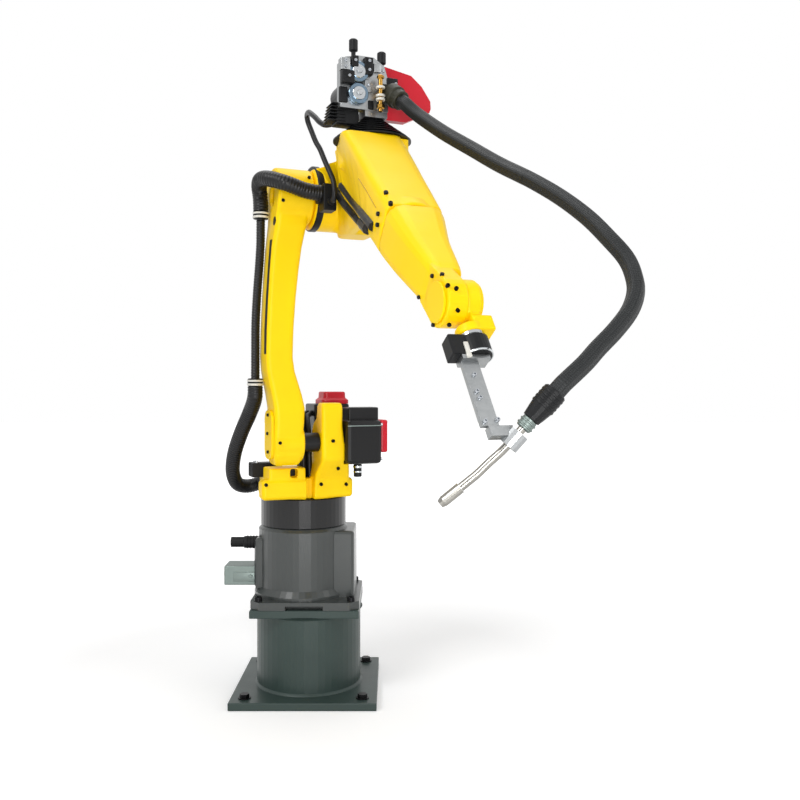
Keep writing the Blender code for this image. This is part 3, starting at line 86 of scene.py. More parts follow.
def linear(code: str) -> tuple[float, float, float, float]:
    """Turn an sRGB hex value into the linear colour that Blender's sockets take.

    Args:
        code: six hex digits after a hash sign.

    Returns:
        Linear red, green and blue, and an alpha of one.
    """
    shares = [int(code[i:i + 2], 16) / 255 for i in (1, 3, 5)]
    red, green, blue = (c / 12.92 if c <= 0.04045 else ((c + 0.055) / 1.055) ** 2.4 for c in shares)
    return red, green, blue, 1.0


def add_node(tree: bpy.types.NodeTree, kind: str, inputs: dict | None = None,
             **settings: object) -> bpy.types.Node:
    """Add one node to a tree.

    Args:
        tree: the node tree.
        kind: the node's Blender type.
        inputs: value or linked output for each input, by name or number.
        settings: the node's own properties.

    Returns:
        The new node.
    """
    node = tree.nodes.new(kind)
    for name, value in settings.items():
        setattr(node, name, value)
    for name, value in (inputs or {}).items():
        if isinstance(value, bpy.types.NodeSocket):
            tree.links.new(value, node.inputs[name])
        else:
            node.inputs[name].default_value = value
    return node


class Grain(Enum):
    """How a surface was made, which sets its pattern."""

    SPRAYED = "sprayed over a sand casting or rolled plate"
    MOULDED = "moulded against a spark-eroded tool"
    MILLED = "milled or drawn, with fine straight lines"
    POLISHED = "plated and polished"
    BRAIDED = "braided from flat plastic filament"


@dataclass(frozen=True)
class Finish:
    """One surface finish, made as a procedural material.

    The second colour is what the mottling goes towards. The grain's size is that of the real surface, or as
    coarse as it has to be to show at two millimetres to a pixel of the render.
    """

    name: str
    colour: str
    second: str
    roughness: float
    grain: Grain
    grain_mm: float
    relief_mm: float
    metallic: float = 0.0
    ior: float = 1.5
    specular: float = 0.5
    coat: float = 0.0
    mottle_mm: float = 90.0

    def pattern(self, tree: bpy.types.NodeTree) -> bpy.types.NodeSocket:
        """Lay the grain's nodes.

        Args:
            tree: the material's node tree.

        Returns:
            The output that holds the grain's height, from 0 to 1.
        """
        scale = 1 / (self.grain_mm * MILLIMETRE)
        if self.grain is Grain.BRAIDED:
            place = add_node(tree, "ShaderNodeUVMap", uv_map="along").outputs["UV"]
            parts = add_node(tree, "ShaderNodeSeparateXYZ", {0: place}).outputs
            waves = []
            for operation in ("ADD", "SUBTRACT"):
                sloped = add_node(tree, "ShaderNodeMath", {0: parts[0], 1: parts[1]}, operation=operation)
                turns = add_node(tree, "ShaderNodeMath", {0: sloped.outputs[0], 1: math.tau * scale},
                                 operation="MULTIPLY")
                wave = add_node(tree, "ShaderNodeMath", {0: turns.outputs[0]}, operation="SINE")
                waves.append(wave.outputs[0])
            crossed = add_node(tree, "ShaderNodeMath", {0: waves[0], 1: waves[1]}, operation="MULTIPLY")
            return add_node(tree, "ShaderNodeMapRange", {0: crossed.outputs[0], 1: -1.0}).outputs[0]
        place = add_node(tree, "ShaderNodeTexCoord").outputs["Object"]
        stretch = (1.0, 1.0, TOOL_LINE_SQUEEZE if self.grain is Grain.MILLED else 1.0)
        mapped = add_node(tree, "ShaderNodeMapping", {"Vector": place, "Scale": stretch})
        noise = add_node(tree, "ShaderNodeTexNoise",
                         {"Vector": mapped.outputs[0], "Scale": scale, "Detail": 3.0, "Roughness": 0.6})
        return noise.outputs["Fac"]

    def material(self) -> bpy.types.Material:
        """Make the material, or find it where it was made before.

        Returns:
            The material, which every piece of this finish shares.
        """
        if self.name in bpy.data.materials:
            return bpy.data.materials[self.name]
        material = bpy.data.materials.new(self.name)
        material.use_nodes = True
        tree = material.node_tree
        tree.nodes.clear()
        height = self.pattern(tree)
        place = add_node(tree, "ShaderNodeTexCoord").outputs["Object"]
        mottle = add_node(tree, "ShaderNodeTexNoise",
                          {"Vector": place, "Scale": 1 / (self.mottle_mm * MILLIMETRE), "Detail": 4.0})
        share = height if self.grain is Grain.BRAIDED else mottle.outputs["Fac"]
        tint = add_node(tree, "ShaderNodeMix", {0: share, 6: linear(self.colour), 7: linear(self.second)},
                        data_type="RGBA")
        gloss = add_node(tree, "ShaderNodeMapRange", {0: mottle.outputs["Fac"],
                                                      3: self.roughness * (1 - ROUGHNESS_SPREAD),
                                                      4: self.roughness * (1 + ROUGHNESS_SPREAD)})
        bump = add_node(tree, "ShaderNodeBump",
                        {"Height": height, "Distance": self.relief_mm * MILLIMETRE, "Strength": 1.0})
        shader = add_node(tree, "ShaderNodeBsdfPrincipled", {
            "Base Color": tint.outputs[2],
            "Roughness": gloss.outputs[0],
            "Normal": bump.outputs[0],
            "Metallic": self.metallic,
            "IOR": self.ior,
            "Specular IOR Level": self.specular,
            "Coat Weight": self.coat,
            "Coat Roughness": COAT_ROUGHNESS,
        })
        add_node(tree, "ShaderNodeOutputMaterial", {0: shader.outputs[0]})
        return material


# Polyester enamel sprayed over sand castings: deep yellow, an even satin gloss with a faint orange peel
YELLOW_ENAMEL = Finish("yellow_enamel", "#FFD900", "#FFCF00", 0.42, Grain.SPRAYED, 2.5, 0.10, ior=1.45,
                       specular=0.25)
# The same enamel in slate grey over cast iron: dull green-grey, with a narrow highlight from its clear coat
SLATE_ENAMEL = Finish("slate_enamel", "#373B3A", "#303433", 0.40, Grain.SPRAYED, 2.5, 0.10, specular=0.3,
                      coat=0.5)
# Brushed-on machine enamel over welded plate: darker and greener, slightly uneven
TEAL_ENAMEL = Finish("teal_enamel", "#33423E", "#2B3936", 0.42, Grain.SPRAYED, 4.0, 0.18, specular=0.3,
                     coat=0.15)
# Glass-filled nylon, moulded: black with a fine matt texture. The same black is painted shade in the turret's
# outlet hole and in the lower arm's channel
BLACK_NYLON = Finish("black_nylon", "#0C0D0E", "#141517", 0.46, Grain.MOULDED, 1.6, 0.05, specular=0.2)
# Baked black paint on motor housings: smoother than the nylon, with a thin clear coat
MOTOR_BLACK = Finish("motor_black_paint", "#0A0A0B", "#101012", 0.36, Grain.SPRAYED, 2.0, 0.05, specular=0.2,
                     coat=0.12)
# Baked enamel of the collar: black with a deep gloss
GLOSS_BLACK = Finish("gloss_black_enamel", "#080809", "#0D0D0E", 0.30, Grain.SPRAYED, 3.0, 0.02, specular=0.2,
                     coat=0.3)
# ABS caps, moulded in bright signal red with a satin gloss
RED_ABS = Finish("red_abs", "#CC1128", "#C00D22", 0.36, Grain.MOULDED, 1.2, 0.03, ior=1.53, specular=0.3)
# Milled aluminium plate: pale grey, fine straight tool lines that spread the highlight
MILLED_ALUMINIUM = Finish("milled_aluminium", "#A6A8A9", "#8F9293", 0.36, Grain.MILLED, 0.8, 0.02,
                          metallic=1.0, mottle_mm=14.0)
# Hard-anodised feed rolls: the blue-grey of a thick oxide
ANODISED_BLUE = Finish("anodised_rolls", "#7F93A3", "#5F7384", 0.26, Grain.MILLED, 0.8, 0.02, metallic=1.0,
                       mottle_mm=14.0)
# Die-cast zinc hood, tumbled and clear-coated: duller grey than the milled plate
CAST_ZINC = Finish("cast_zinc", "#7E8985", "#6E7975", 0.45, Grain.SPRAYED, 1.5, 0.05, metallic=0.8)
# Chromed steel fittings: near mirror, a few soft smudges
CHROME = Finish("chromed_steel", "#C9CCCE", "#B4B8BB", 0.12, Grain.POLISHED, 8.0, 0.004, metallic=1.0)
# Drawn steel torch tube, plated: darker than the fittings, a painted dark reflection so that it reads against
# white
TORCH_STEEL_DARK_REFLECTION = Finish("torch_steel_painted_dark", "#9C9A94", "#7C7A75", 0.20, Grain.POLISHED, 8.0, 0.004, metallic=1.0,
                     mottle_mm=20.0)
# Turned brass fitting: warm and bright
BRASS = Finish("turned_brass", "#B98F42", "#9C7534", 0.24, Grain.MILLED, 0.6, 0.01, metallic=1.0)
# Blackened steel screws: dark, with a low sheen
BLACK_OXIDE = Finish("black_oxide_steel", "#1B1B1D", "#141415", 0.38, Grain.SPRAYED, 0.8, 0.02, metallic=0.9)
# Zinc-plated screws: small bright heads
ZINC_PLATE = Finish("zinc_plated_steel", "#C0C3C7", "#A6AAAF", 0.28, Grain.SPRAYED, 0.8, 0.01, metallic=1.0)
# Natural nylon ties and fittings: milky white. It also paints the highlight stripe on the shock sensor
WHITE_NYLON = Finish("natural_nylon", "#DAD8D0", "#CECBC2", 0.42, Grain.MOULDED, 1.5, 0.02)
# Corrugated polyamide conduit: black with a satin gloss on each rib
CONDUIT_NYLON = Finish("conduit_polyamide", "#0D0D0E", "#151517", 0.36, Grain.MOULDED, 3.0, 0.03,
                       specular=0.3)
# Extruded PVC sheath of the feeder's cable and the harnesses: black, smooth, a little soft
CABLE_PVC = Finish("cable_pvc", "#111112", "#19191B", 0.42, Grain.MOULDED, 3.0, 0.02, specular=0.25)
# Woven polyester sleeve over the torch hose, dark with grey crossings: its strands, about 2 mm wide, are too
# fine to show, so the weave is drawn at 9 mm
BRAIDED_SLEEVE = Finish("braided_sleeve", "#0A0B0C", "#222526", 0.50, Grain.BRAIDED, 9.0, 0.55, specular=0.3)
# A darker ochre line in a crease of the yellow castings: painted shade of the crease, a shaded copy of the
# yellow
OCHRE_CREASE_SHADE = Finish("ochre_crease_shade", "#B98A00", "#A87C00", 0.50, Grain.MOULDED, 2.0, 0.03)
# Moulded olive-grey rubber boot of the hose's socket: dull and dark
OLIVE_RUBBER = Finish("olive_rubber", "#2B2B20", "#24241B", 0.50, Grain.MOULDED, 1.6, 0.04, specular=0.25)

CAD_FINISHES = {
    TEAL_ENAMEL: ("pedestal_plate", "pedestal_column", "pedestal_top_plate"),
    SLATE_ENAMEL: ("base_casting",),
    YELLOW_ENAMEL: ("turret_casting", "lower_arm", "lower_arm_cover", "elbow_casting", "forearm_casting",
                    "wrist_arm_cover", "wrist_cover", "wrist_housing"),
    GLOSS_BLACK: ("swivel_collar",),
    MOTOR_BLACK: ("swivel_gearbox", "swivel_motor", "shoulder_motor", "shoulder_reducer", "feeder_motor"),
    RED_ABS: ("swivel_motor_cap", "shoulder_motor_cap", "feeder_cover"),
    MILLED_ALUMINIUM: ("swivel_motor_flange", "feeder_frame", "tool_bracket", "torch_clamp"),
    ANODISED_BLUE: ("lower_feed_roll", "upper_feed_roll"),
    CAST_ZINC: ("connector_hood",),
    CHROME: ("tool_flange",),
    TORCH_STEEL_DARK_REFLECTION: ("torch_neck", "torch_nozzle"),
    OLIVE_RUBBER: ("hose_socket",),
    BLACK_NYLON: ("power_plug", "motor_connector", "conduit_gland", "lower_conduit_coupling",
                  "upper_conduit_coupling", "elbow_connectors", "feeder_insulator", "right_pressure_knob",
                  "left_pressure_knob", "shock_sensor", "torch_handle", "conduit_clamp"),
    CONDUIT_NYLON: ("lower_conduit", "arm_conduit", "upper_conduit"),
    CABLE_PVC: ("feeder_cable", "torch_hose_upper", "torch_hose_middle", "torch_hose_lower"),
}


@dataclass(frozen=True)
class Link:
    """A link of the robot: its CAD body and the frame that its pieces are drawn in, +X forward, +Y left."""

    body: str
    place: Matrix


def find_links(joints: list[dict]) -> dict[str, Link]:
    """Work out each link's frame from the joints' places and axes.

    Args:
        joints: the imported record's joints.

    Returns:
        The links by name, with the feeder's level seat as a second frame on the elbow's body.
    """
    spot = {joint["name"]: Vector(joint["pos_m"]) for joint in joints}
    axis = {joint["name"]: Vector(joint["axis"]).normalized() for joint in joints}
    left = axis["shoulder"]
    up = Vector((0, 0, 1))

    def framed(origin: Vector, forward: Vector, leftward: Vector) -> Matrix:
        """Matrix with its origin at a point and its axes forward, left and up."""
        columns = Matrix((forward, leftward, forward.cross(leftward))).transposed()
        return Matrix.Translation(origin) @ columns.to_4x4()

    level = left.cross(up)
    arm_up = (spot["elbow"] - spot["shoulder"]).normalized()
    return {
        "base": Link("base", Matrix.Translation((0, 0, spot["swivel"].z))),
        "turret": Link("turret", framed(spot["swivel"], level, left)),
        "lower_arm": Link("lower_arm", framed(spot["shoulder"], left.cross(arm_up), left)),
        "elbow": Link("elbow", framed(spot["elbow"], axis["forearm_roll"], left)),
        "seat": Link("elbow", framed(spot["elbow"], level, left)),
        "forearm": Link("forearm", framed(spot["forearm_roll"], axis["forearm_roll"], left)),
        "wrist": Link("wrist", framed(spot["wrist_bend"], axis["tool_turn"], left)),
        "tool": Link("tool", framed(spot["tool_turn"], axis["tool_turn"], left)),
    }


LINKS = find_links(frame["joints"])
# Pieces whose points are given in the row frame hang on this one, or are left on no body where they cross a
# joint
WORLD = Link("base", Matrix.Identity(4))
FORWARD = (1, 0, 0)
BACKWARD = (-1, 0, 0)
LEFTWARD = (0, 1, 0)
RIGHTWARD = (0, -1, 0)
UPWARD = (0, 0, 1)
DOWNWARD = (0, 0, -1)


@dataclass(frozen=True)
class Viewpoint:
    """The camera that took the picture, in the row frame, looking along +Y."""

    place: Point = (0.275, -2.884, 0.997)
    focal_pixels: float = 870.0
    vanishing: Pixel = (392.0, 385.0)

    def ray(self, pixel: Pixel) -> Vector:
        """Find the direction from the camera through a pixel.

        Args:
            pixel: column and row in the picture.

        Returns:
            The direction, of length one.
        """
        across = (pixel[0] - self.vanishing[0]) / self.focal_pixels
        down = (pixel[1] - self.vanishing[1]) / self.focal_pixels
        return Vector((across, 1.0, -down)).normalized()

    def add_camera(self) -> None:
        """Put the camera in the scene and make it the one that renders."""
        data = bpy.data.cameras.new("camera")
        data.sensor_width = SENSOR_WIDTH
        data.lens = self.focal_pixels * SENSOR_WIDTH / PICTURE_SIDE
        data.shift_x = (PICTURE_SIDE / 2 - self.vanishing[0]) / PICTURE_SIDE
        data.shift_y = (self.vanishing[1] - PICTURE_SIDE / 2) / PICTURE_SIDE
        camera = bpy.data.objects.new("camera", data)
        camera.location = self.place
        camera.rotation_euler = (math.pi / 2, 0, 0)
        bpy.context.scene.collection.objects.link(camera)
        bpy.context.scene.camera = camera


VIEWPOINT = Viewpoint()


def moved(form: bmesh.types.BMesh, matrix: Matrix) -> bmesh.types.BMesh:
    """The same form put through a matrix."""
    bmesh.ops.transform(form, matrix=matrix, verts=form.verts)
    return form


def aim(start: Sequence[float], direction: Sequence[float]) -> Matrix:
    """The matrix that stands a form made along +Z at a point, along a direction."""
    return Matrix.Translation(start) @ Vector(direction).to_track_quat("Z", "Y").to_matrix().to_4x4()


def placed(form: bmesh.types.BMesh, spot: Sequence[float],
           direction: Sequence[float] = UPWARD) -> bmesh.types.BMesh:
    """A form made along +Z, stood at a spot along a direction."""
    return moved(form, aim(spot, direction))


def turned(profile: Sequence[Pixel], steps: int = 48) -> bmesh.types.BMesh:
    """Turn a profile round the Z axis.

    Args:
        profile: radius and height of each point, from axis to axis.
        steps: facets round the axis.

    Returns:
        A closed form.
    """
    form = bmesh.new()
    points = [form.verts.new((radius, 0, height)) for radius, height in profile]
    edges = [form.edges.new(pair) for pair in zip(points, points[1:])]
    bmesh.ops.spin(form, geom=points + edges, cent=(0, 0, 0), axis=(0, 0, 1), angle=math.tau, steps=steps,
                   use_merge=True)
    bmesh.ops.remove_doubles(form, verts=form.verts, dist=1e-6)
    return form


@dataclass(frozen=True)
class Disc:
    """A short cylinder on the Z axis between two heights, with chamfered rims."""

    radius: float
    low: float
    high: float
    edge: float = 0.001
    steps: int = 48

    def form(self) -> bmesh.types.BMesh:
        """Make its mesh.

        Returns:
            The closed form.
        """
        inner = self.radius - self.edge
        return turned([(0, self.low), (inner, self.low), (self.radius, self.low + self.edge),
                       (self.radius, self.high - self.edge), (inner, self.high), (0, self.high)], self.steps)


def block(low: Point, high: Point, edge: float) -> bmesh.types.BMesh:
    """Make a box with rounded edges.

    Args:
        low: its corner with the smallest coordinates.
        high: the opposite corner.
        edge: radius of the edges.

    Returns:
        The closed form.
    """
    size = Vector(high) - Vector(low)
    form = bmesh.new()
    bmesh.ops.create_cube(form, size=1.0)
    bmesh.ops.scale(form, vec=size, verts=form.verts)
    bmesh.ops.translate(form, vec=Vector(low) + size / 2, verts=form.verts)
    bmesh.ops.bevel(form, geom=form.edges[:], offset=edge, segments=3, affect="EDGES", profile=0.5)
    return form


def loft(rings: Sequence[Sequence[Sequence[float]]]) -> bmesh.types.BMesh:
    """Skin a closed form over rings.

    Args:
        rings: rings of points, as many in each, from one end to the other.

    Returns:
        The form, with a flat face at each end.
    """
    form = bmesh.new()
    loops = [[form.verts.new(point) for point in ring] for ring in rings]
    for lower, upper in zip(loops, loops[1:]):
        for index in range(len(lower)):
            following = (index + 1) % len(lower)
            form.faces.new((lower[index], lower[following], upper[following], upper[index]))
    form.faces.new(loops[0])
    form.faces.new(reversed(loops[-1]))
    return form


def prism(outline: Sequence[Pixel], low: float, high: float) -> bmesh.types.BMesh:
    """An outline in X and Y extruded along Z."""
    return loft([[(x, y, z) for x, y in outline] for z in (low, high)])


def together(forms: Iterable[bmesh.types.BMesh]) -> bmesh.types.BMesh:
    """Put several forms into one.

    Args:
        forms: the forms, which are freed.

    Returns:
        One form that holds them all.
    """
    whole = bmesh.new()
    for form in forms:
        mesh = bpy.data.meshes.new("form")
        form.to_mesh(mesh)
        form.free()
        whole.from_mesh(mesh)
        bpy.data.meshes.remove(mesh)
    return whole


def socket_screw(radius: float) -> bmesh.types.BMesh:
    """Make the head of a socket-head cap screw, with its hexagon.

    Args:
        radius: the head's radius.

    Returns:
        The form, seated on Z = 0 and half a radius deep below it.
    """
    count = 24
    around = [math.tau * index / count for index in range(count)]

    def circle(size: float, height: float) -> list[Point]:
        """Points round a circle."""
        return [(size * math.cos(a), size * math.sin(a), height) for a in around]

    def hexagon(size: float, height: float) -> list[Point]:
        """Lay as many points round a hexagon.

        Args:
            size: its radius at the corners.
            height: its height above the seat.

        Returns:
            The points, each beside one of the circle's.
        """
        flat = math.radians(60)
        sizes = [size * math.cos(flat / 2) / math.cos((a % flat) - flat / 2) for a in around]
        return [(s * math.cos(a), s * math.sin(a), height) for s, a in zip(sizes, around)]

    top = radius * 1.1
    return loft([circle(radius, -radius / 2), circle(radius, top * 0.85), circle(radius * 0.9, top),
                 hexagon(radius * 0.55, top), hexagon(radius * 0.5, top * 0.35)])


def hexagon_bolt(radius: float) -> bmesh.types.BMesh:
    """Make the head of a hexagon bolt on its washer.

    Args:
        radius: the head's radius at its corners.

    Returns:
        The form, seated on Z = 0.
    """
    washer_top = radius * 0.2
    washer = Disc(radius * 1.35, 0, washer_top, radius * 0.05, 32).form()
    corners = [math.radians(60 * index) for index in range(6)]
    head = prism([(radius * math.cos(a), radius * math.sin(a)) for a in corners], washer_top, radius * 0.95)
    return together([washer, head])


def smooth_route(points: Sequence[Point], spacing: float) -> list[Vector]:
    """Points a set spacing apart along the curve through a route whose first and last stretches are straight.

    Args:
        points: the route, as listed.
        spacing: distance between the points that come back.

    Returns:
        The evenly spaced points, with both ends of the route.
    """
    route = [Vector(point) for point in points]
    dense = [route[0]]
    for before, here, there, after in zip(route, route[1:], route[2:], route[3:]):
        for step in range(ROUTE_STEPS):
            s = step / ROUTE_STEPS
            dense.append(0.5 * (2 * here + (there - before) * s
                                + (2 * before - 5 * here + 4 * there - after) * s ** 2
                                + (3 * here - before - 3 * there + after) * s ** 3))
    dense += [route[-2], route[-1]]
    lengths = [0.0]
    for a, b in zip(dense, dense[1:]):
        lengths.append(lengths[-1] + (b - a).length)
    count = max(2, round(lengths[-1] / spacing))
    even = []
    index = 0
    for step in range(count + 1):
        target = lengths[-1] * step / count
        while index < len(dense) - 2 and lengths[index + 1] < target:
            index += 1
        stretch = max(lengths[index + 1] - lengths[index], 1e-9)
        even.append(dense[index].lerp(dense[index + 1], min(1.0, (target - lengths[index]) / stretch)))
    return even


def sweep(route: Sequence[Vector], radius: Callable[[float], float], sides: int = 28, lobes: int = 0,
          lobe_depth: float = 0.0) -> bmesh.types.BMesh:
    """Sweep a round section along a route, with a map of metres along and around it.

    Args:
        route: points of the centreline, close together.
        radius: the section's radius at a distance along the route.
        sides: facets round the section.
        lobes: how many hoses show through a sleeve as ridges, or none.
        lobe_depth: how deep the valleys between them are, as a share of the radius.

    Returns:
        A closed tube whose faces carry the map named along.
    """
    form = bmesh.new()
    layer = form.loops.layers.uv.new("along")
    side = (route[1] - route[0]).orthogonal().normalized()
    rings = []
    distances = []
    travelled = 0.0
    for index, centre in enumerate(route):
        before = route[max(0, index - 1)]
        after = route[min(len(route) - 1, index + 1)]
        forward = (after - before).normalized()
        side = (side - forward * side.dot(forward)).normalized()
        other = forward.cross(side)
        if index:
            travelled += (centre - route[index - 1]).length
        size = radius(travelled)
        ring = []
        for step in range(sides):
            angle = math.tau * step / sides
            reach = size * (1 - lobe_depth * (0.5 - 0.5 * math.cos(lobes * angle)))
            ring.append(form.verts.new(centre + reach * (side * math.cos(angle) + other * math.sin(angle))))
        rings.append(ring)
        distances.append(travelled)
    girth = math.tau * radius(travelled / 2)
    for place, (lower, upper) in enumerate(zip(rings, rings[1:])):
        for index in range(sides):
            following = (index + 1) % sides
            face = form.faces.new((lower[index], lower[following], upper[following], upper[index]))
            corners = ((distances[place], index), (distances[place], index + 1),
                       (distances[place + 1], index + 1), (distances[place + 1], index))
            for loop, (along, step) in zip(face.loops, corners):
                loop[layer].uv = (along, girth * step / sides)
    form.faces.new(rings[0])
    form.faces.new(reversed(rings[-1]))
    return form


def add_piece(name: str, form: bmesh.types.BMesh, finish: Finish, link: Link, replaces: Sequence[str] = (),
              loose: bool = False) -> bpy.types.Object:
    """Make an object from a form and hang it on its link.

    Args:
        name: the piece's name.
        form: its mesh in the link's frame, which is freed.
        finish: its surface.
        link: the link that carries it.
        replaces: CAD nodes that it stands for.
        loose: whether it is left without a body.

    Returns:
        The new object.
    """
    bmesh.ops.recalc_face_normals(form, faces=form.faces)
    moved(form, link.place)
    mesh = bpy.data.meshes.new(name)
    form.to_mesh(mesh)
    form.free()
    mesh.shade_smooth()
    mesh.set_sharp_from_angle(angle=SHARP_ANGLE)
    mesh.materials.append(finish.material())
    piece = bpy.data.objects.new(name, mesh)
    bpy.context.scene.collection.objects.link(piece)
    if not loose:
        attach(piece, link.body)
    if replaces:
        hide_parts(*replaces)
    log.info("%s: %d faces", name, len(mesh.polygons))
    return piece


def soften(node: str, finish: Finish, link: Link, voxel: float = 0.003,
           passes: int = 6) -> bpy.types.Object:
    """Give a CAD casting the soft radii and fillets of a sand casting.

    Args:
        node: the CAD node that the piece starts from and stands for.
        finish: its surface.
        link: the link that carries it.
        voxel: grid size of the new skin.
        passes: rounds of smoothing.

    Returns:
        The new object, named for the node.
    """
    mesh = frame["nodes"][node].data.copy()
    mesh.materials.clear()
    mesh.materials.append(finish.material())
    piece = bpy.data.objects.new(node + "_cast", mesh)
    bpy.context.scene.collection.objects.link(piece)
    remesh = piece.modifiers.new("skin", "REMESH")
    remesh.mode = "VOXEL"
    remesh.voxel_size = voxel
    remesh.use_smooth_shade = True
    smooth = piece.modifiers.new("fillets", "SMOOTH")
    smooth.factor = 0.5
    smooth.iterations = passes
    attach(piece, link.body)
    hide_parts(node)
    log.info("%s: cast skin over %s", piece.name, node)
    return piece


def surface_of(node: str) -> BVHTree:
    """Index the faces of a CAD node, to find where the picture's rays meet it.

    Args:
        node: the CAD node.

    Returns:
        Its surface in the row frame.
    """
    data = frame["nodes"][node].data
    return BVHTree.FromPolygons([v.co for v in data.vertices], [p.vertices for p in data.polygons])


def seated(name: str, node: str, pixels: Sequence[Pixel], make: Callable[[], bmesh.types.BMesh],
           finish: Finish, link: Link) -> bpy.types.Object:
    """Seat screws or other small fittings on a CAD node where the picture shows them.

    Args:
        name: the piece's name.
        node: the CAD node that they are fixed to.
        pixels: where each shows in the picture.
        make: makes one of them along +Z, seated on Z = 0.
        finish: their surface.
        link: the link that carries them.

    Returns:
        One object with all of them, each square to the surface under it.
    """
    surface = surface_of(node)
    fittings = []
    for pixel in pixels:
        spot, normal, _, _ = surface.ray_cast(Vector(VIEWPOINT.place), VIEWPOINT.ray(pixel))
        if spot is None:
            log.warning("%s: no surface at %s", name, pixel)
            continue
        fittings.append(moved(make(), link.place.inverted() @ aim(spot, normal)))
    return add_piece(name, together(fittings), finish, link)


def traced_bead(name: str, node: str, pixels: Sequence[Pixel], radius: float, finish: Finish,
         link: Link) -> bpy.types.Object:
    """Lay a thin bead along a casting where the picture shows a dark line: painted shade in a crease, or a
    cable.

    Args:
        name: the piece's name.
        node: the CAD node that it lies on.
        pixels: points of the line in the picture.
        radius: half the bead's width.
        finish: its surface.
        link: the link that carries it.

    Returns:
        The bead, half sunk in the surface.
    """
    surface = surface_of(node)
    spots = []
    for (x0, y0), (x1, y1) in zip(pixels, pixels[1:]):
        for step in range(BEAD_STEPS):
            share = step / BEAD_STEPS
            pixel = (x0 + (x1 - x0) * share, y0 + (y1 - y0) * share)
            spot = surface.ray_cast(Vector(VIEWPOINT.place), VIEWPOINT.ray(pixel))[0]
            if spot is not None:
                spots.append(spot)
    bead = sweep(spots, lambda along: radius, sides=8)
    return add_piece(name, moved(bead, link.place.inverted()), finish, link)


def dress_cad_nodes() -> None:
    """Give every CAD node its finish, whether a modelled piece replaces it later or not."""
    for finish, nodes in CAD_FINISHES.items():
        for node in nodes:
            if node not in frame["nodes"]:
                log.warning("no node named %s", node)
                continue
            thing = frame["nodes"][node]
            thing.data.materials.clear()
            thing.data.materials.append(finish.material())
            thing.data.shade_smooth()
            thing.data.set_sharp_from_angle(angle=SHARP_ANGLE)


def seen_directly(tree: bpy.types.NodeTree) -> bpy.types.NodeSocket:
    """Tell rays that are looked along from those that light the robot.

    Args:
        tree: the node tree of a material or the world.

    Returns:
        The output that is one where the camera, a reflection or a refraction looks, and zero for other light.
    """
    path = add_node(tree, "ShaderNodeLightPath").outputs
    mirrored = add_node(tree, "ShaderNodeMath",
                        {0: path["Is Camera Ray"], 1: path["Is Glossy Ray"]}, operation="MAXIMUM")
    return add_node(tree, "ShaderNodeMath",
                    {0: mirrored.outputs[0], 1: path["Is Transmission Ray"]}, operation="MAXIMUM").outputs[0]


@dataclass(frozen=True)
class Lamp:
    """A soft rectangular lamp: its place, its width and height, and its power in watts."""

    name: str
    place: Point
    size: Pixel
    power: float

    def add(self, target: Point) -> None:
        """Put the lamp in the scene.

        Args:
            target: the point that it faces.
        """
        data = bpy.data.lights.new(self.name, "AREA")
        data.shape = "RECTANGLE"
        data.size, data.size_y = self.size
        data.energy = self.power
        lamp = bpy.data.objects.new(self.name, data)
        lamp.location = self.place
        lamp.rotation_euler = (Vector(target) - Vector(self.place)).to_track_quat("-Z", "Y").to_euler()
        bpy.context.scene.collection.objects.link(lamp)


@dataclass
class Studio:
    """Plain white floor under an even sky, and soft lamps.

    The floor's own glow rises from floor_glow to full white between the near and the far distance from the
    pedestal, so that the shadow under the robot stays.
    """

    floor_side: float = 40.0
    floor_paint: str = "#F4F4F4"
    floor_roughness: float = 0.9
    white: str = "#FFFFFF"
    floor_glow: float = 0.27
    near: float = 0.9
    far: float = 3.5
    sky: float = 0.28
    middle: Point = (0.15, -0.5, 0.95)
    lamps: tuple[Lamp, ...] = (
        Lamp("key", (-2.6, -3.4, 4.2), (2.2, 2.2), 120.0),
        Lamp("strip", (0.62, -4.0, 0.85), (0.16, 1.65), 55.0),
        Lamp("fill", (3.4, -1.6, 2.6), (1.8, 2.4), 30.0),
        Lamp("top", (0.0, 0.6, 5.0), (3.0, 3.0), 60.0),
    )

    def build(self) -> None:
        """Make the floor, the lamps and the world."""
        self.add_floor()
        for lamp in self.lamps:
            lamp.add(self.middle)
        self.light_world()

    def add_floor(self) -> None:
        """A white sheet whose glow is seen but not cast on the robot, and leaves only its shadow darker."""
        form = bmesh.new()
        bmesh.ops.create_grid(form, x_segments=1, y_segments=1, size=self.floor_side / 2)
        mesh = bpy.data.meshes.new("studio_floor")
        form.to_mesh(mesh)
        form.free()
        material = bpy.data.materials.new("white_studio_floor")
        material.use_nodes = True
        tree = material.node_tree
        shader = tree.nodes["Principled BSDF"]
        shader.inputs["Base Color"].default_value = linear(self.floor_paint)
        shader.inputs["Roughness"].default_value = self.floor_roughness
        shader.inputs["Emission Color"].default_value = linear(self.white)
        place = add_node(tree, "ShaderNodeTexCoord").outputs["Object"]
        distance = add_node(tree, "ShaderNodeVectorMath", {0: place}, operation="LENGTH").outputs["Value"]
        level = add_node(tree, "ShaderNodeMapRange",
                         {0: distance, 1: self.near, 2: self.far, 3: self.floor_glow, 4: 1.0})
        glow = add_node(tree, "ShaderNodeMath", {0: seen_directly(tree), 1: level.outputs[0]},
                        operation="MULTIPLY")
        tree.links.new(glow.outputs[0], shader.inputs["Emission Strength"])
        mesh.materials.append(material)
        floor = bpy.data.objects.new("studio_floor", mesh)
        bpy.context.scene.collection.objects.link(floor)

    def light_world(self) -> None:
        """An even sky that looks white but lights the robot less."""
        world = bpy.data.worlds.new("studio")
        world.use_nodes = True
        tree = world.node_tree
        ground = tree.nodes["Background"]
        ground.inputs["Color"].default_value = linear(self.white)
        strength = add_node(tree, "ShaderNodeMapRange", {0: seen_directly(tree), 3: self.sky, 4: 1.0})
        tree.links.new(strength.outputs[0], ground.inputs["Strength"])
        bpy.context.scene.world = world


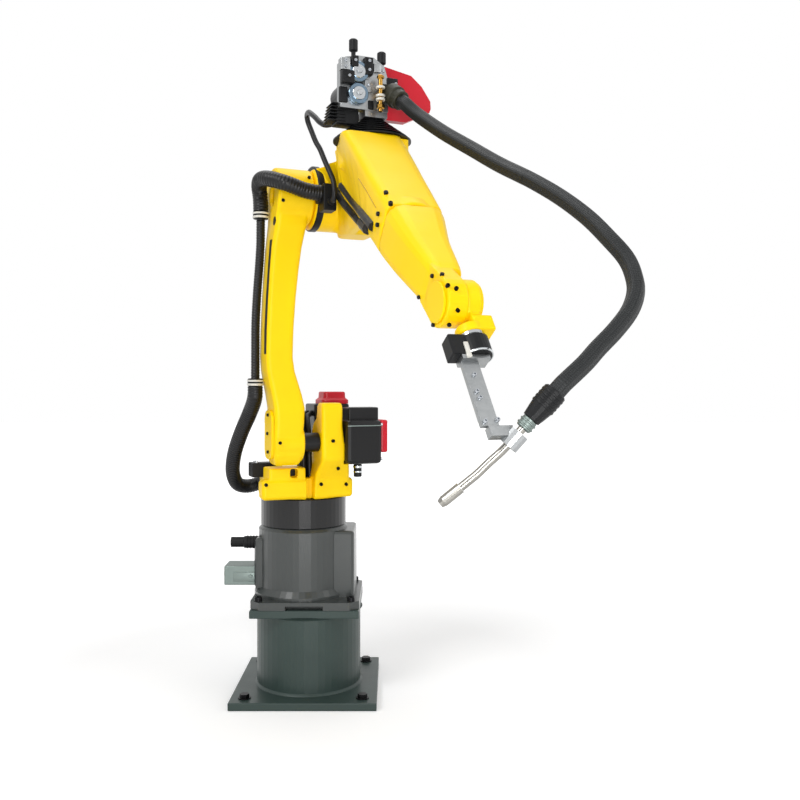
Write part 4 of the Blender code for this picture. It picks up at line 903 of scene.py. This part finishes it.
@dataclass
class Pedestal:
    """Weld beads round the column, anchor bolts of the floor plate and bolts of the robot's foot."""

    plate_top: float = 0.025
    column_top: float = 0.267
    column_radius: float = 0.170
    weld: float = 0.007
    anchor_reach: float = 0.183
    anchor_radius: float = 0.015
    foot_top: float = 0.317
    foot_reach: float = 0.146
    foot_bolt_radius: float = 0.012

    def build(self) -> None:
        """Add the weld beads and both sets of bolts."""
        beads = [placed(self.bead(), (0, 0, self.plate_top), UPWARD),
                 placed(self.bead(), (0, 0, self.column_top), DOWNWARD)]
        add_piece("pedestal_welds", together(beads), TEAL_ENAMEL, WORLD)
        for name, reach, height, make in (
                ("anchor_bolts", self.anchor_reach, self.plate_top, lambda: hexagon_bolt(self.anchor_radius)),
                ("foot_bolts", self.foot_reach, self.foot_top, lambda: socket_screw(self.foot_bolt_radius))):
            bolts = [placed(make(), (x, y, height)) for x in (-reach, reach) for y in (-reach, reach)]
            add_piece(name, together(bolts), BLACK_OXIDE, WORLD)

    def bead(self) -> bmesh.types.BMesh:
        """Make one weld bead.

        Returns:
            The bead round the column, with a rounded face, seated on Z = 0.
        """
        radius, weld = self.column_radius, self.weld
        return turned([(0, 0), (radius + weld, 0), (radius + weld * 0.4, weld * 0.7), (radius, weld),
                       (0, weld)])


@dataclass
class Base:
    """Details of the cast base's rear: connector panel, plug grip, and the hood's latches, gland and seal."""

    panel: tuple[Point, Point] = ((-0.1712, -0.062, 0.055), (-0.167, 0.062, 0.200))
    hood: tuple[Point, Point] = ((-0.273, -0.045, 0.052), (-0.168, 0.045, 0.114))
    plug_height: float = 0.185
    plug_ring: Disc = Disc(0.0212, 0, 0.005, steps=32)
    plug_rings: tuple[float, ...] = (-0.176, -0.186, -0.196, -0.206)
    latch_thickness: float = 0.004
    latch_sunk: float = 0.001
    latch_rear: float = 0.030
    latch_front: float = 0.004
    latch_bottom: float = 0.012
    latch_top: float = 0.020
    pivot_back: float = 0.018
    pivot_height: float = 0.030
    pivot_out: float = 0.002
    latch_pivot: Disc = Disc(0.006, 0, 0.005, steps=20)
    gland: Disc = Disc(0.016, 0, 0.007, 0.002, 28)
    seal_overlap: float = 0.002

    def build(self) -> None:
        """Add the panel, latches, plug rings and hood details."""
        link = LINKS["base"]
        add_piece("connector_panel", block(*self.panel, 0.002), BLACK_NYLON, link)
        rings = [placed(self.plug_ring.form(), (x, 0, self.plug_height), FORWARD) for x in self.plug_rings]
        add_piece("plug_grip", together(rings), BLACK_NYLON, link)
        (rear, right, bottom), (front, left, top) = self.hood
        thickness, sunk, out = self.latch_thickness, self.latch_sunk, self.pivot_out
        latches = [block((rear + self.latch_rear, side, bottom + self.latch_bottom),
                         (front - self.latch_front, side + thickness, top - self.latch_top), 0.001)
                   for side in (right - (thickness - sunk), left - sunk)]
        pivots = [placed(self.latch_pivot.form(), (front - self.pivot_back, side, bottom + self.pivot_height),
                         direction)
                  for side, direction in ((right - out, RIGHTWARD), (left + out, LEFTWARD))]
        add_piece("hood_latches", together([*latches, *pivots]), CAST_ZINC, link)
        gland = placed(self.gland.form(), (rear + 0.001, 0, (bottom + top) / 2), BACKWARD)
        over = self.seal_overlap
        seal = block((front - 0.0045, right - over, bottom - over), (front + 0.0005, left + over, top + over),
                     0.001)
        add_piece("hood_gland", together([gland, seal]), BLACK_NYLON, link)


@dataclass
class Turret:
    """Swivelling casting's skin and screws, painted shade in its outlet's hole, trim of its two big motors,
    and the harness in its outlet.
    """

    screws: tuple[Pixel, ...] = ((266, 485), (346, 484), (333, 441), (338, 468), (321, 484))
    screw_radius: float = 0.0055
    # Black block inside the outlet's hole: painted shade of its dark inside
    painted_hole_shade: tuple[Point, Point] = ((0.108, -0.0826, 0.4145), (0.113, -0.0594, 0.4415))
    shoulder_body: tuple[Point, Point] = ((0.081, 0.078, 0.456), (0.219, 0.195, 0.594))
    shoulder_seam: float = 0.577
    shoulder_screw_inset: float = 0.014
    swivel_body: tuple[Point, Point] = ((-0.085, 0.030, 0.542), (0.025, 0.152, 0.642))
    swivel_seam: float = 0.588
    swivel_flange_drop: float = 0.100
    swivel_screw_radius: float = 0.005
    swivel_screw_inset: float = 0.012
    seam_half: float = 0.0016
    seam_rise: float = 0.0008
    seam_inset: float = 0.002
    seam_end_rise: float = 0.0002
    socket: Point = (0.150, 0.1365, 0.431)
    socket_rings: tuple[tuple[Disc, float], ...] = ((Disc(0.0150, -0.004, 0.004, steps=32), 0.012),
                                                    (Disc(0.0140, -0.003, 0.003, steps=32), -0.004))
    harness: tuple[tuple[float, float], ...] = ((-0.034, 0.072), (-0.017, 0.076), (-0.007, 0.094),
                                                (-0.026, 0.092))
    harness_course: tuple[Point, ...] = ((0.0, 0.0, 0.405), (-0.003, 0.0, 0.440), (-0.008, 0.0, 0.500),
                                         (-0.020, 0.002, 0.560), (-0.060, 0.010, 0.604),
                                         (-0.110, 0.040, 0.612))
    harness_radius: float = 0.0085
    clamp_screws: tuple[Point, ...] = ((0.000, -0.165, 0.455), (0.000, -0.100, 0.455), (0.028, -0.165, 0.455),
                                       (0.028, -0.100, 0.455))
    small_screw_radius: float = 0.0045

    def build(self) -> None:
        """Add the cast skin with its screws, the clamp's screws, the outlet's painted shade, the motors' trim
        and the harness.
        """
        link = LINKS["turret"]
        soften("turret_casting", YELLOW_ENAMEL, link)
        seated("turret_screws", "turret_casting", self.screws, lambda: socket_screw(self.screw_radius),
               BLACK_OXIDE, link)
        # Black block: painted shade in the outlet's hole
        add_piece("outlet_painted_shade", block(*self.painted_hole_shade, 0.0005), BLACK_NYLON, link)
        self.trim_motors(link)
        self.add_harness(link)
        screws = [placed(socket_screw(self.small_screw_radius), spot) for spot in self.clamp_screws]
        add_piece("clamp_screws", together(screws), ZINC_PLATE, link)

    def trim_motors(self, link: Link) -> None:
        """Add the seams and screws of both motors and the rings of the shoulder motor's connector.

        Args:
            link: the turret's link.
        """
        half, rise = self.seam_half, self.seam_rise
        seams = [block((low[0] - rise, low[1] + self.seam_inset, height - half),
                       (high[0] + rise, high[1] + self.seam_end_rise, height + half), 0.0004)
                 for (low, high), height in ((self.shoulder_body, self.shoulder_seam),
                                             (self.swivel_body, self.swivel_seam))]
        add_piece("motor_seams", together(seams), CAST_ZINC, link)
        low, high = self.swivel_body
        inset = self.swivel_screw_inset
        corners = [placed(socket_screw(self.swivel_screw_radius), (x, y, high[2] - self.swivel_flange_drop))
                   for x in (low[0] + inset, high[0] - inset) for y in (low[1] + inset, high[1] - inset)]
        add_piece("swivel_flange_screws", together(corners), ZINC_PLATE, link)
        low, high = self.shoulder_body
        inset = self.shoulder_screw_inset
        ends = [placed(socket_screw(self.small_screw_radius), (x, high[1], z), LEFTWARD)
                for x in (low[0] + inset, high[0] - inset) for z in (low[2] + inset, high[2] - inset)]
        add_piece("shoulder_end_screws", together(ends), ZINC_PLATE, link)
        x, y, z = self.socket
        rings = [placed(ring.form(), (x, y, z + rise)) for ring, rise in self.socket_rings]
        add_piece("motor_connector_rings", together(rings), CHROME, link)

    def add_harness(self, link: Link) -> None:
        """Lay the cables that rise beside the shoulder, each along the same course from its own foot.

        Args:
            link: the turret's link.
        """
        for index, (side, back) in enumerate(self.harness):
            line = smooth_route([(back + forward, side + left, height)
                                 for forward, left, height in self.harness_course], SWEEP_SPACING)
            cable = sweep(line, lambda along: self.harness_radius, sides=16)
            add_piece(f"turret_harness_{index + 1}", cable, CABLE_PVC, link)


@dataclass
class LowerArm:
    """Bowed lower arm's skin and screws, its plug, and a black strip of painted shade for the channel down
    its right side.
    """

    # A black strip, a little proud of the right side, paints the channel's shade: height and right edge of
    # each ring
    channel_shade_strip: tuple[tuple[float, float], ...] = ((0.275, -0.1752), (0.350, -0.1746), (0.448, -0.1704),
                                                (0.540, -0.1650), (0.622, -0.1592))
    channel_forward: float = 0.018
    channel_width: float = 0.022
    channel_rise: float = 0.001
    sunk: float = 0.004
    screws: tuple[Pixel, ...] = ((280, 443), (283, 200), (309, 178))
    cover_screws: tuple[Pixel, ...] = ((268, 433.5), (268.5, 415), (268.5, 452))
    screw_radius: float = 0.005
    plug_at: Pixel = (274.5, 221)
    plug: Disc = Disc(0.014, -0.004, 0.0012, steps=32)

    def build(self) -> None:
        """Add the cast skin, the channel's painted shade strip, the plug and both sets of screws."""
        link = LINKS["lower_arm"]
        soften("lower_arm", YELLOW_ENAMEL, link)
        near, far = self.channel_forward, self.channel_forward + self.channel_width
        rings = [[(near, right - self.channel_rise, height), (far, right - self.channel_rise, height),
                  (far, right + self.sunk, height), (near, right + self.sunk, height)]
                 for height, right in self.channel_shade_strip]
        # Black strip: painted shade of the channel
        add_piece("arm_channel_painted_shade", loft(rings), BLACK_NYLON, link)
        seated("lower_arm_screws", "lower_arm", self.screws, lambda: socket_screw(self.screw_radius),
               BLACK_OXIDE, link)
        seated("arm_plug", "lower_arm", (self.plug_at,), self.plug.form, BLACK_NYLON, link)
        seated("cover_screws", "lower_arm_cover", self.cover_screws, lambda: socket_screw(self.screw_radius),
               BLACK_OXIDE, link)


@dataclass
class Elbow:
    """Elbow casting's skin, screws and painted crease shade, its plug, harness and seal, and the connectors'
    nuts.
    """

    screws: tuple[Pixel, ...] = ((386, 193.4), (390.6, 204), (379, 213.8), (378.4, 225), (414, 242))
    screw_radius: float = 0.0055
    # Line of the casting's crease, where an ochre bead paints its shade
    crease: tuple[Pixel, ...] = ((358.7, 178.7), (366, 190), (377, 209.5))
    crease_radius: float = 0.0014
    plug_at: Pixel = (430, 219)
    plug: Disc = Disc(0.013, -0.004, 0.004, 0.0015, 32)
    harness: tuple[tuple[tuple[Pixel, ...], float], ...] = (
        (((338, 192), (346, 204), (357, 217), (369, 230)), 0.015),
        (((342, 186), (352, 200), (363, 214), (374, 228)), 0.012),
    )
    seal: Disc = Disc(0.1005, -0.0300, -0.0080, 0.003, 64)
    nuts: tuple[tuple[Point, float], ...] = (((0.112, -0.030, -0.018), 0.020),
                                             ((0.112, 0.002, -0.044), 0.013))
    nut_half: float = 0.012

    def build(self) -> None:
        """Add the cast skin with its screws, painted crease shade and plug, the harness, the seal and the
        nuts.
        """
        link = LINKS["elbow"]
        soften("elbow_casting", YELLOW_ENAMEL, link)
        seated("elbow_screws", "elbow_casting", self.screws, lambda: socket_screw(self.screw_radius),
               BLACK_OXIDE, link)
        # Ochre bead: painted shade along the crease
        traced_bead("elbow_crease_shade", "elbow_casting", self.crease, self.crease_radius, OCHRE_CREASE_SHADE, link)
        seated("elbow_plug", "elbow_casting", (self.plug_at,), self.plug.form, BLACK_NYLON, link)
        for index, (line, radius) in enumerate(self.harness):
            traced_bead(f"elbow_harness_{index + 1}", "elbow_casting", line, radius, CABLE_PVC, link)
        add_piece("elbow_seal", placed(self.seal.form(), (0, 0, 0), LEFTWARD), BLACK_NYLON, link)
        glands = [placed(Disc(radius, -self.nut_half, self.nut_half, 0.002, 6).form(), spot, RIGHTWARD)
                  for spot, radius in self.nuts]
        add_piece("elbow_glands", together(glands), BLACK_NYLON, LINKS["seat"])


@dataclass
class Feeder:
    """Wire feeder: ribbed insulator, drive plate with its rolls and levers, guide and cooling fins."""

    face: float = 0.420
    insulator_centre: tuple[float, float] = (0.385, 0.033)
    insulator_foot: float = 0.0833
    insulator_height: float = 0.060
    insulator_radius: float = 0.107
    insulator_top: float = 0.032
    ribs: int = 6
    # Each rib's profile: share of its height, and how far in the surface lies there
    rib_steps: tuple[tuple[float, float], ...] = ((0.15, 0.010), (0.45, 0.012), (0.60, 0.0), (0.95, 0.0))
    levers: tuple[tuple[Point, Point], ...] = (
        ((0.414, -0.044, 0.266), (0.438, -0.024, 0.296)),
        ((0.414, -0.006, 0.250), (0.436, 0.018, 0.297)),
        ((0.414, -0.071, 0.220), (0.440, -0.036, 0.254)),
        ((0.414, -0.030, 0.222), (0.428, -0.008, 0.236)),
        ((0.396, 0.062, 0.232), (0.424, 0.094, 0.254)),
        ((0.414, -0.074, 0.172), (0.424, -0.050, 0.214)),
        ((0.414, 0.008, 0.162), (0.424, 0.024, 0.186)),
    )
    blocks: tuple[tuple[Point, Point], ...] = (
        ((0.410, -0.073, 0.256), (0.434, -0.046, 0.288)),
        ((0.412, 0.022, 0.262), (0.428, 0.044, 0.286)),
        ((0.412, -0.004, 0.206), (0.426, 0.018, 0.240)),
    )
    screws: tuple[Point, ...] = (
        (0.438, -0.034, 0.282),
        (0.436, 0.006, 0.286),
        (0.436, 0.006, 0.262),
        (0.440, -0.052, 0.238),
        (0.434, -0.060, 0.280),
        (0.434, -0.060, 0.264),
        (0.424, 0.086, 0.238),
        (0.420, 0.052, 0.270),
        (0.420, 0.054, 0.190),
        (0.426, 0.006, 0.224),
    )
    screw_radius: float = 0.0042
    rolls: tuple[float, ...] = (0.198, 0.2565)
    roll_left: float = -0.022
    roll_thickness: float = 0.011
    hub: Disc = Disc(0.018, 0, 0.005, steps=40)
    hub_nut: Disc = Disc(0.008, 0.004, 0.012, steps=6)
    boot: Disc = Disc(0.030, -0.010, 0.024, 0.004, 40)
    boot_start: Point = (0.4375, 0.072, 0.203)
    boot_direction: Point = (0.77, 0.27, -0.58)
    fins: int = 6
    fin_low: Point = (0.350, -0.098, 0.128)
    fin_high: Point = (0.404, -0.050, 0.131)
    fin_pitch: float = 0.009
    fin_taper: float = 0.002
    fin_body: tuple[Point, Point] = ((0.352, -0.074, 0.122), (0.400, -0.010, 0.180))
    guide_left: float = 0.034
    guide_forward: float = 0.446
    guide_turnings: tuple[Disc, ...] = (Disc(0.006, 0.150, 0.246, steps=24),
                                        Disc(0.011, 0.158, 0.170, 0.002, 6),
                                        Disc(0.010, 0.238, 0.248, 0.002, 6))
    bracket_heights: tuple[float, float] = (0.196, 0.206)
    bracket_half: float = 0.005
    bracket_sunk: float = 0.004
    collar_lows: tuple[float, ...] = (0.180, 0.190, 0.212)
    collar_radius: float = 0.0125
    collar_height: float = 0.006

    def build(self) -> None:
        """Add every detail of the feeder."""
        link = LINKS["seat"]
        self.add_insulator(link)
        add_piece("feeder_levers", together(block(*corners, 0.003) for corners in self.levers), BLACK_NYLON,
                  link)
        add_piece("feeder_blocks", together(block(*corners, 0.002) for corners in self.blocks),
                  MILLED_ALUMINIUM, link)
        heads = [placed(socket_screw(self.screw_radius), spot, FORWARD) for spot in self.screws]
        add_piece("feeder_screws", together(heads), ZINC_PLATE, link)
        hubs = []
        for height in self.rolls:
            centre = (self.face + self.roll_thickness, self.roll_left, height)
            hubs += [placed(turning.form(), centre, FORWARD) for turning in (self.hub, self.hub_nut)]
        add_piece("roll_hubs", together(hubs), CHROME, link)
        self.add_guide(link)
        boot = placed(self.boot.form(), self.boot_start, self.boot_direction)
        add_piece("hose_boot_collar", boot, OLIVE_RUBBER, link)
        self.add_fins(link)

    def add_insulator(self, link: Link) -> None:
        """Put a stepped cone in place of the plain one.

        Args:
            link: the level seat's link.
        """
        radius, top, height = self.insulator_radius, self.insulator_top, self.insulator_height
        profile = [(0.0, 0.0), (radius, 0.0), (radius, 0.004)]
        for rib in range(self.ribs):
            for share, inset in self.rib_steps:
                rise = (rib + share) / self.ribs
                profile.append((radius + (top - radius) * rise - inset, 0.005 + (height - 0.006) * rise))
        profile += [(top - 0.001, height), (0.0, height)]
        cone = placed(turned(profile, 64), (*self.insulator_centre, self.insulator_foot))
        add_piece("insulator_ribbed", cone, BLACK_NYLON, link, ("feeder_insulator",))

    def add_guide(self, link: Link) -> None:
        """Add the upright wire guide of brass with its white insulating collars.

        Args:
            link: the level seat's link.
        """
        spot = (self.guide_forward, self.guide_left, 0)
        brass = [placed(turning.form(), spot) for turning in self.guide_turnings]
        low, high = self.bracket_heights
        brass.append(block((self.face - self.bracket_sunk, self.guide_left - self.bracket_half, low),
                           (self.guide_forward, self.guide_left + self.bracket_half, high), 0.001))
        add_piece("wire_guide", together(brass), BRASS, link)
        collars = [placed(Disc(self.collar_radius, low, low + self.collar_height, steps=32).form(), spot)
                   for low in self.collar_lows]
        add_piece("guide_collars", together(collars), WHITE_NYLON, link)

    def add_fins(self, link: Link) -> None:
        """Add the cooling fins under the plate, each a little shorter than the one below.

        Args:
            link: the level seat's link.
        """
        (back, right, bottom), (front, left, top) = self.fin_low, self.fin_high
        fins = [block((back, right + self.fin_taper * index, bottom + self.fin_pitch * index),
                      (front, left, top + self.fin_pitch * index), 0.001) for index in range(self.fins)]
        fins.append(block(*self.fin_body, 0.004))
        add_piece("feeder_fins", together(fins), BLACK_NYLON, link)


@dataclass
class Forearm:
    """Forearm's skin, with the screws of its shell and of the wrist arm's cover."""

    screws: tuple[Pixel, ...] = ((433, 276), (442, 275), (447.5, 286), (456, 289), (419.5, 297), (457.5, 310),
                                 (434, 325), (449, 324))
    screw_radius: float = 0.0045

    def build(self) -> None:
        """Add the cast skin and the screws."""
        link = LINKS["forearm"]
        soften("forearm_casting", YELLOW_ENAMEL, link, voxel=0.002)
        seated("forearm_screws", "forearm_casting", self.screws, lambda: socket_screw(self.screw_radius),
               BLACK_OXIDE, link)


@dataclass
class Wrist:
    """Wrist housing's skin, finer than the others because its forms are smaller."""

    voxel: float = 0.0015
    passes: int = 4

    def build(self) -> None:
        """Add the cast skin."""
        soften("wrist_housing", YELLOW_ENAMEL, LINKS["wrist"], self.voxel, self.passes)


@dataclass
class Torch:
    """Swan neck of the torch, the rings and screws of its handle, sensor and bracket, and the sensor's white
    stripe, a painted highlight.
    """

    neck_radius: float = 0.0085
    axis_start: Point = (0.171, 0.098, 0.069)
    axis_end: Point = (0.2386, 0.0081, -0.0223)
    handle_length: float = 0.0713
    gap: float = 0.0003
    neck: tuple[Point, ...] = ((0.2386, 0.0081, -0.0223), (0.255, -0.020, -0.047), (0.269, -0.043, -0.069),
                               (0.282, -0.070, -0.091))
    grips: int = 4
    grip_radius: float = 0.0248
    grip_span: tuple[float, float] = (0.008, 0.013)
    grip_pitch: float = 0.009
    collar: tuple[Disc, ...] = (Disc(0.0155, 0, 0.024, 0.002, 32), Disc(0.0175, 0.006, 0.010, steps=32),
                                Disc(0.0175, 0.015, 0.019, steps=32))
    plate_screws: tuple[Pixel, ...] = ((476.7, 391.7), (479.8, 397.9), (485, 421.6), (497.4, 420), (474, 375))
    plate_screw_radius: float = 0.0045
    # White stripe across the black sensor: painted highlight
    highlight_stripe_at: Pixel = (467.5, 349.5)
    highlight_stripe: tuple[Point, Point] = ((-0.005, -0.018, -0.006), (0.005, 0.018, 0.003))
    sensor_band: Disc = Disc(0.033, 0.040, 0.044, steps=48)

    def build(self) -> None:
        """Add the neck, the grips, the rings and the screws."""
        link = LINKS["tool"]
        start, end = Vector(self.axis_start), Vector(self.axis_end)
        along = (end - start).normalized()
        handle_end = start + along * self.handle_length
        route = smooth_route([handle_end + along * self.gap, *self.neck], SWEEP_SPACING)
        tube = sweep(route, lambda travelled: self.neck_radius, sides=36)
        # Darkened steel of the neck: painted dark reflection
        add_piece("neck_tube", tube, TORCH_STEEL_DARK_REFLECTION, link, ("torch_neck",))
        low, high = self.grip_span
        grips = [placed(Disc(self.grip_radius, low + self.grip_pitch * index, high + self.grip_pitch * index,
                             0.0008, 40).form(), start, along) for index in range(self.grips)]
        add_piece("handle_ribs", together(grips), BLACK_NYLON, link)
        collar = [placed(ring.form(), handle_end, along) for ring in self.collar]
        add_piece("neck_collar", together(collar), CAST_ZINC, link)
        seated("bracket_screws", "tool_bracket", self.plate_screws,
               lambda: socket_screw(self.plate_screw_radius), ZINC_PLATE, link)
        # White block on the sensor: painted highlight
        seated("sensor_painted_highlight", "shock_sensor", (self.highlight_stripe_at,), lambda: block(*self.highlight_stripe, 0.001),
               WHITE_NYLON, link)
        add_piece("sensor_band", placed(self.sensor_band.form(), (0, 0, 0), FORWARD), CHROME, link)


@dataclass
class Hoses:
    """Torch hose in three stretches, one to each joint that it crosses, and the feeder's cable."""

    hose_radius: float = 0.019
    socket_length: float = 0.045
    gap: float = 0.0003
    route: tuple[Point, ...] = (
        (0.519, 0.113, 0.129),
        (0.606, 0.146, 0.063),
        (0.695, 0.180, 0.003),
        (0.782, 0.210, -0.054),
        (0.870, 0.240, -0.106),
        (0.947, 0.271, -0.159),
        (1.021, 0.294, -0.217),
        (1.081, 0.308, -0.273),
        (1.118, 0.321, -0.316),
        (1.149, 0.317, -0.355),
        (1.171, 0.305, -0.392),
        (1.187, 0.278, -0.431),
        (1.197, 0.237, -0.470),
        (1.201, 0.192, -0.508),
        (1.204, 0.159, -0.538),
    )
    end_shares: tuple[float, ...] = (0.0, 0.405, 0.753, 1.0)
    strands: int = 5
    strand_depth: float = 0.12
    cable_radius: float = 0.008
    cable: tuple[Point, ...] = (
        (0.1683, -0.010, -0.036),
        (0.180, -0.010, -0.036),
        (0.187, -0.010, -0.012),
        (0.178, -0.010, 0.018),
        (0.163, -0.018, 0.052),
        (0.149, -0.027, 0.083),
        (0.132, -0.037, 0.122),
        (0.118, -0.046, 0.147),
        (0.099, -0.054, 0.184),
        (0.090, -0.062, 0.213),
        (0.098, -0.067, 0.229),
        (0.134, -0.073, 0.227),
        (0.175, -0.078, 0.211),
        (0.208, -0.076, 0.192),
        (0.238, -0.070, 0.169),
        (0.262, -0.060, 0.156),
        (0.290, -0.040, 0.156),
        (0.318, -0.012, 0.158),
        (0.345, 0.010, 0.160),
        (0.3677, 0.010, 0.160),
    )

    def build(self) -> None:
        """Add the hose and the cable."""
        route = self.hose_route()
        count = len(route) - 1
        stops = [round(share * count) for share in self.end_shares]
        for name, first, last, bodies in (
                ("torch_hose_upper", stops[0], stops[1], ("elbow", "forearm")),
                ("torch_hose_middle", stops[1], stops[2], ("forearm", "wrist")),
                ("torch_hose_lower", stops[2], stops[3], ("wrist", "tool"))):
            stretch = route[first:last + 1]
            sleeve = sweep(stretch, lambda along: self.hose_radius, 50, self.strands, self.strand_depth)
            piece = add_piece(name + "_sleeve", sleeve, BRAIDED_SLEEVE, WORLD, (name,), loose=True)
            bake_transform(piece)
        place = LINKS["seat"].place
        line = [place @ point for point in smooth_route(self.cable, SWEEP_SPACING)]
        sheath = sweep(line, lambda along: self.cable_radius, sides=20)
        piece = add_piece("feeder_cable_sheath", sheath, CABLE_PVC, Link("elbow", Matrix.Identity(4)),
                          ("feeder_cable",))

    def hose_route(self) -> list[Vector]:
        """Run the hose's centreline from the feeder's boot to the torch's handle.

        Returns:
            Evenly spaced points of the whole hose in the row frame.
        """
        seat, tool = LINKS["seat"].place, LINKS["tool"].place
        start = Vector(Feeder.boot_start)
        outward = Vector(Feeder.boot_direction).normalized()
        end = tool @ Vector(Torch.axis_start)
        backward = (end - tool @ Vector(Torch.axis_end)).normalized()
        points = [seat @ (start + outward * (self.socket_length + self.gap)),
                  seat @ (start + outward * (self.socket_length + self.hose_radius)),
                  *(seat @ Vector(point) for point in self.route),
                  end + backward * self.hose_radius,
                  end + backward * self.gap]
        return smooth_route(points, SWEEP_SPACING)


@dataclass
class Conduits:
    """Corrugated conduits of the dress pack, which bend across the shoulder and the elbow."""

    rib_pitch: float = 0.0085
    rib_depth: float = 0.0016
    thick: float = 0.024
    thin: float = 0.014
    coupling: float = 0.025
    gap: float = 0.0003
    ring_rise: float = 0.0012
    ring_above: float = 0.003
    ring_below: float = 0.022
    rings: tuple[tuple[float, float], ...] = ((0.0, 0.007), (0.012, 0.018))
    shoulder_height: float = 0.525
    lower_route: tuple[Point, ...] = (
        (-0.155, -0.088, -0.150),
        (-0.168, -0.088, -0.150),
        (-0.190, -0.106, -0.161),
        (-0.190, -0.144, -0.169),
        (-0.162, -0.186, -0.156),
        (-0.110, -0.213, -0.110),
        (-0.050, -0.220, -0.045),
        (0.010, -0.212, 0.023),
        (0.060, -0.199, 0.080),
        (0.105, -0.1927, 0.123),
    )
    arm_back: float = -0.030
    arm_right: float = -0.150
    arm_width: float = 0.088
    arm_start: float = 0.19988
    arm_end: float = 0.6905
    arm_shares: tuple[tuple[float, float], ...] = (
        (-0.472, 0.00),
        (-0.472, 0.061),
        (-0.474, 0.183),
        (-0.472, 0.347),
        (-0.426, 0.530),
        (-0.347, 0.734),
        (-0.3125, 0.866),
        (-0.3125, 1.00),
    )
    upper_route: tuple[Point, ...] = (
        (-0.030, -0.1775, -0.044),
        (-0.030, -0.1775, -0.030),
        (-0.028, -0.180, 0.000),
        (-0.010, -0.188, 0.028),
        (0.030, -0.192, 0.040),
        (0.080, -0.180, 0.035),
        (0.118, -0.140, 0.019),
        (0.124, -0.085, 0.002),
        (0.124, -0.048, -0.003),
        (0.124, -0.0303, -0.003),
    )

    def build(self) -> None:
        """Add the three conduits and the white rings at their couplings."""
        arm, turret, seat = LINKS["lower_arm"], LINKS["turret"], LINKS["seat"]
        elbow = seat.place.translation
        span = self.arm_end - self.arm_start
        clipped = [arm.place @ Vector((self.arm_back, self.arm_right + side * self.arm_width,
                                       self.arm_start + rise * span)) for side, rise in self.arm_shares]
        top = Vector((self.arm_back, self.arm_right + self.arm_shares[0][0] * self.arm_width,
                      self.arm_start - self.coupling - self.gap))
        shoulder = Vector((0, 0, self.shoulder_height))
        lower = [turret.place @ (Vector(point) + shoulder) for point in self.lower_route]
        lower += [arm.place @ (top - Vector((0, 0, self.coupling))), arm.place @ top]
        upper = [elbow + arm.place.to_3x3() @ Vector(point) for point in self.upper_route]
        self.add_conduit("lower_conduit", lower, self.thick, ("turret", "lower_arm"))
        self.add_conduit("arm_conduit", clipped, self.thin, None)
        self.add_conduit("upper_conduit", upper, self.thick, ("lower_arm", "elbow"))
        bottoms = (top + Vector((0, 0, self.ring_above)),
                   arm.place.inverted() @ upper[0] - Vector((0, 0, self.ring_below)))
        rings = [placed(Disc(self.thick + self.ring_rise, low, high, steps=36).form(), bottom)
                 for bottom in bottoms for low, high in self.rings]
        add_piece("conduit_rings", together(rings), WHITE_NYLON, arm)

    def add_conduit(self, node: str, points: Sequence[Vector], radius: float,
                    across: tuple[str, str] | None) -> None:
        """Sweep one ribbed conduit and hang it on the lower arm, or leave it on no body where it crosses a
        joint.

        Args:
            node: the CAD node that it stands for.
            points: its route in the row frame.
            radius: its radius over the ribs.
            across: the two bodies that it joins, or none where it stays on the lower arm.
        """
        route = smooth_route(points, self.rib_pitch / 4)

        def ribbed(along: float) -> float:
            """Radius at a distance along the conduit."""
            return radius - self.rib_depth * (0.5 - 0.5 * math.cos(math.tau * along / self.rib_pitch))

        piece = add_piece(node + "_ribbed", sweep(route, ribbed, 24), CONDUIT_NYLON,
                          Link("lower_arm", Matrix.Identity(4)), (node,), loose=across is not None)
        if across:
            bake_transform(piece)


def main() -> None:
    """Build the camera, the studio and every sub-assembly."""
    logging.basicConfig(level=logging.INFO, format="%(name)s: %(message)s")
    bpy.context.scene.view_settings.view_transform = "Standard"
    VIEWPOINT.add_camera()
    dress_cad_nodes()
    for part in (Studio(), Pedestal(), Base(), Turret(), LowerArm(), Conduits(), Elbow(), Feeder(), Forearm(),
                 Wrist(), Torch(), Hoses()):
        part.build()


if __name__ == "__main__":
    main()
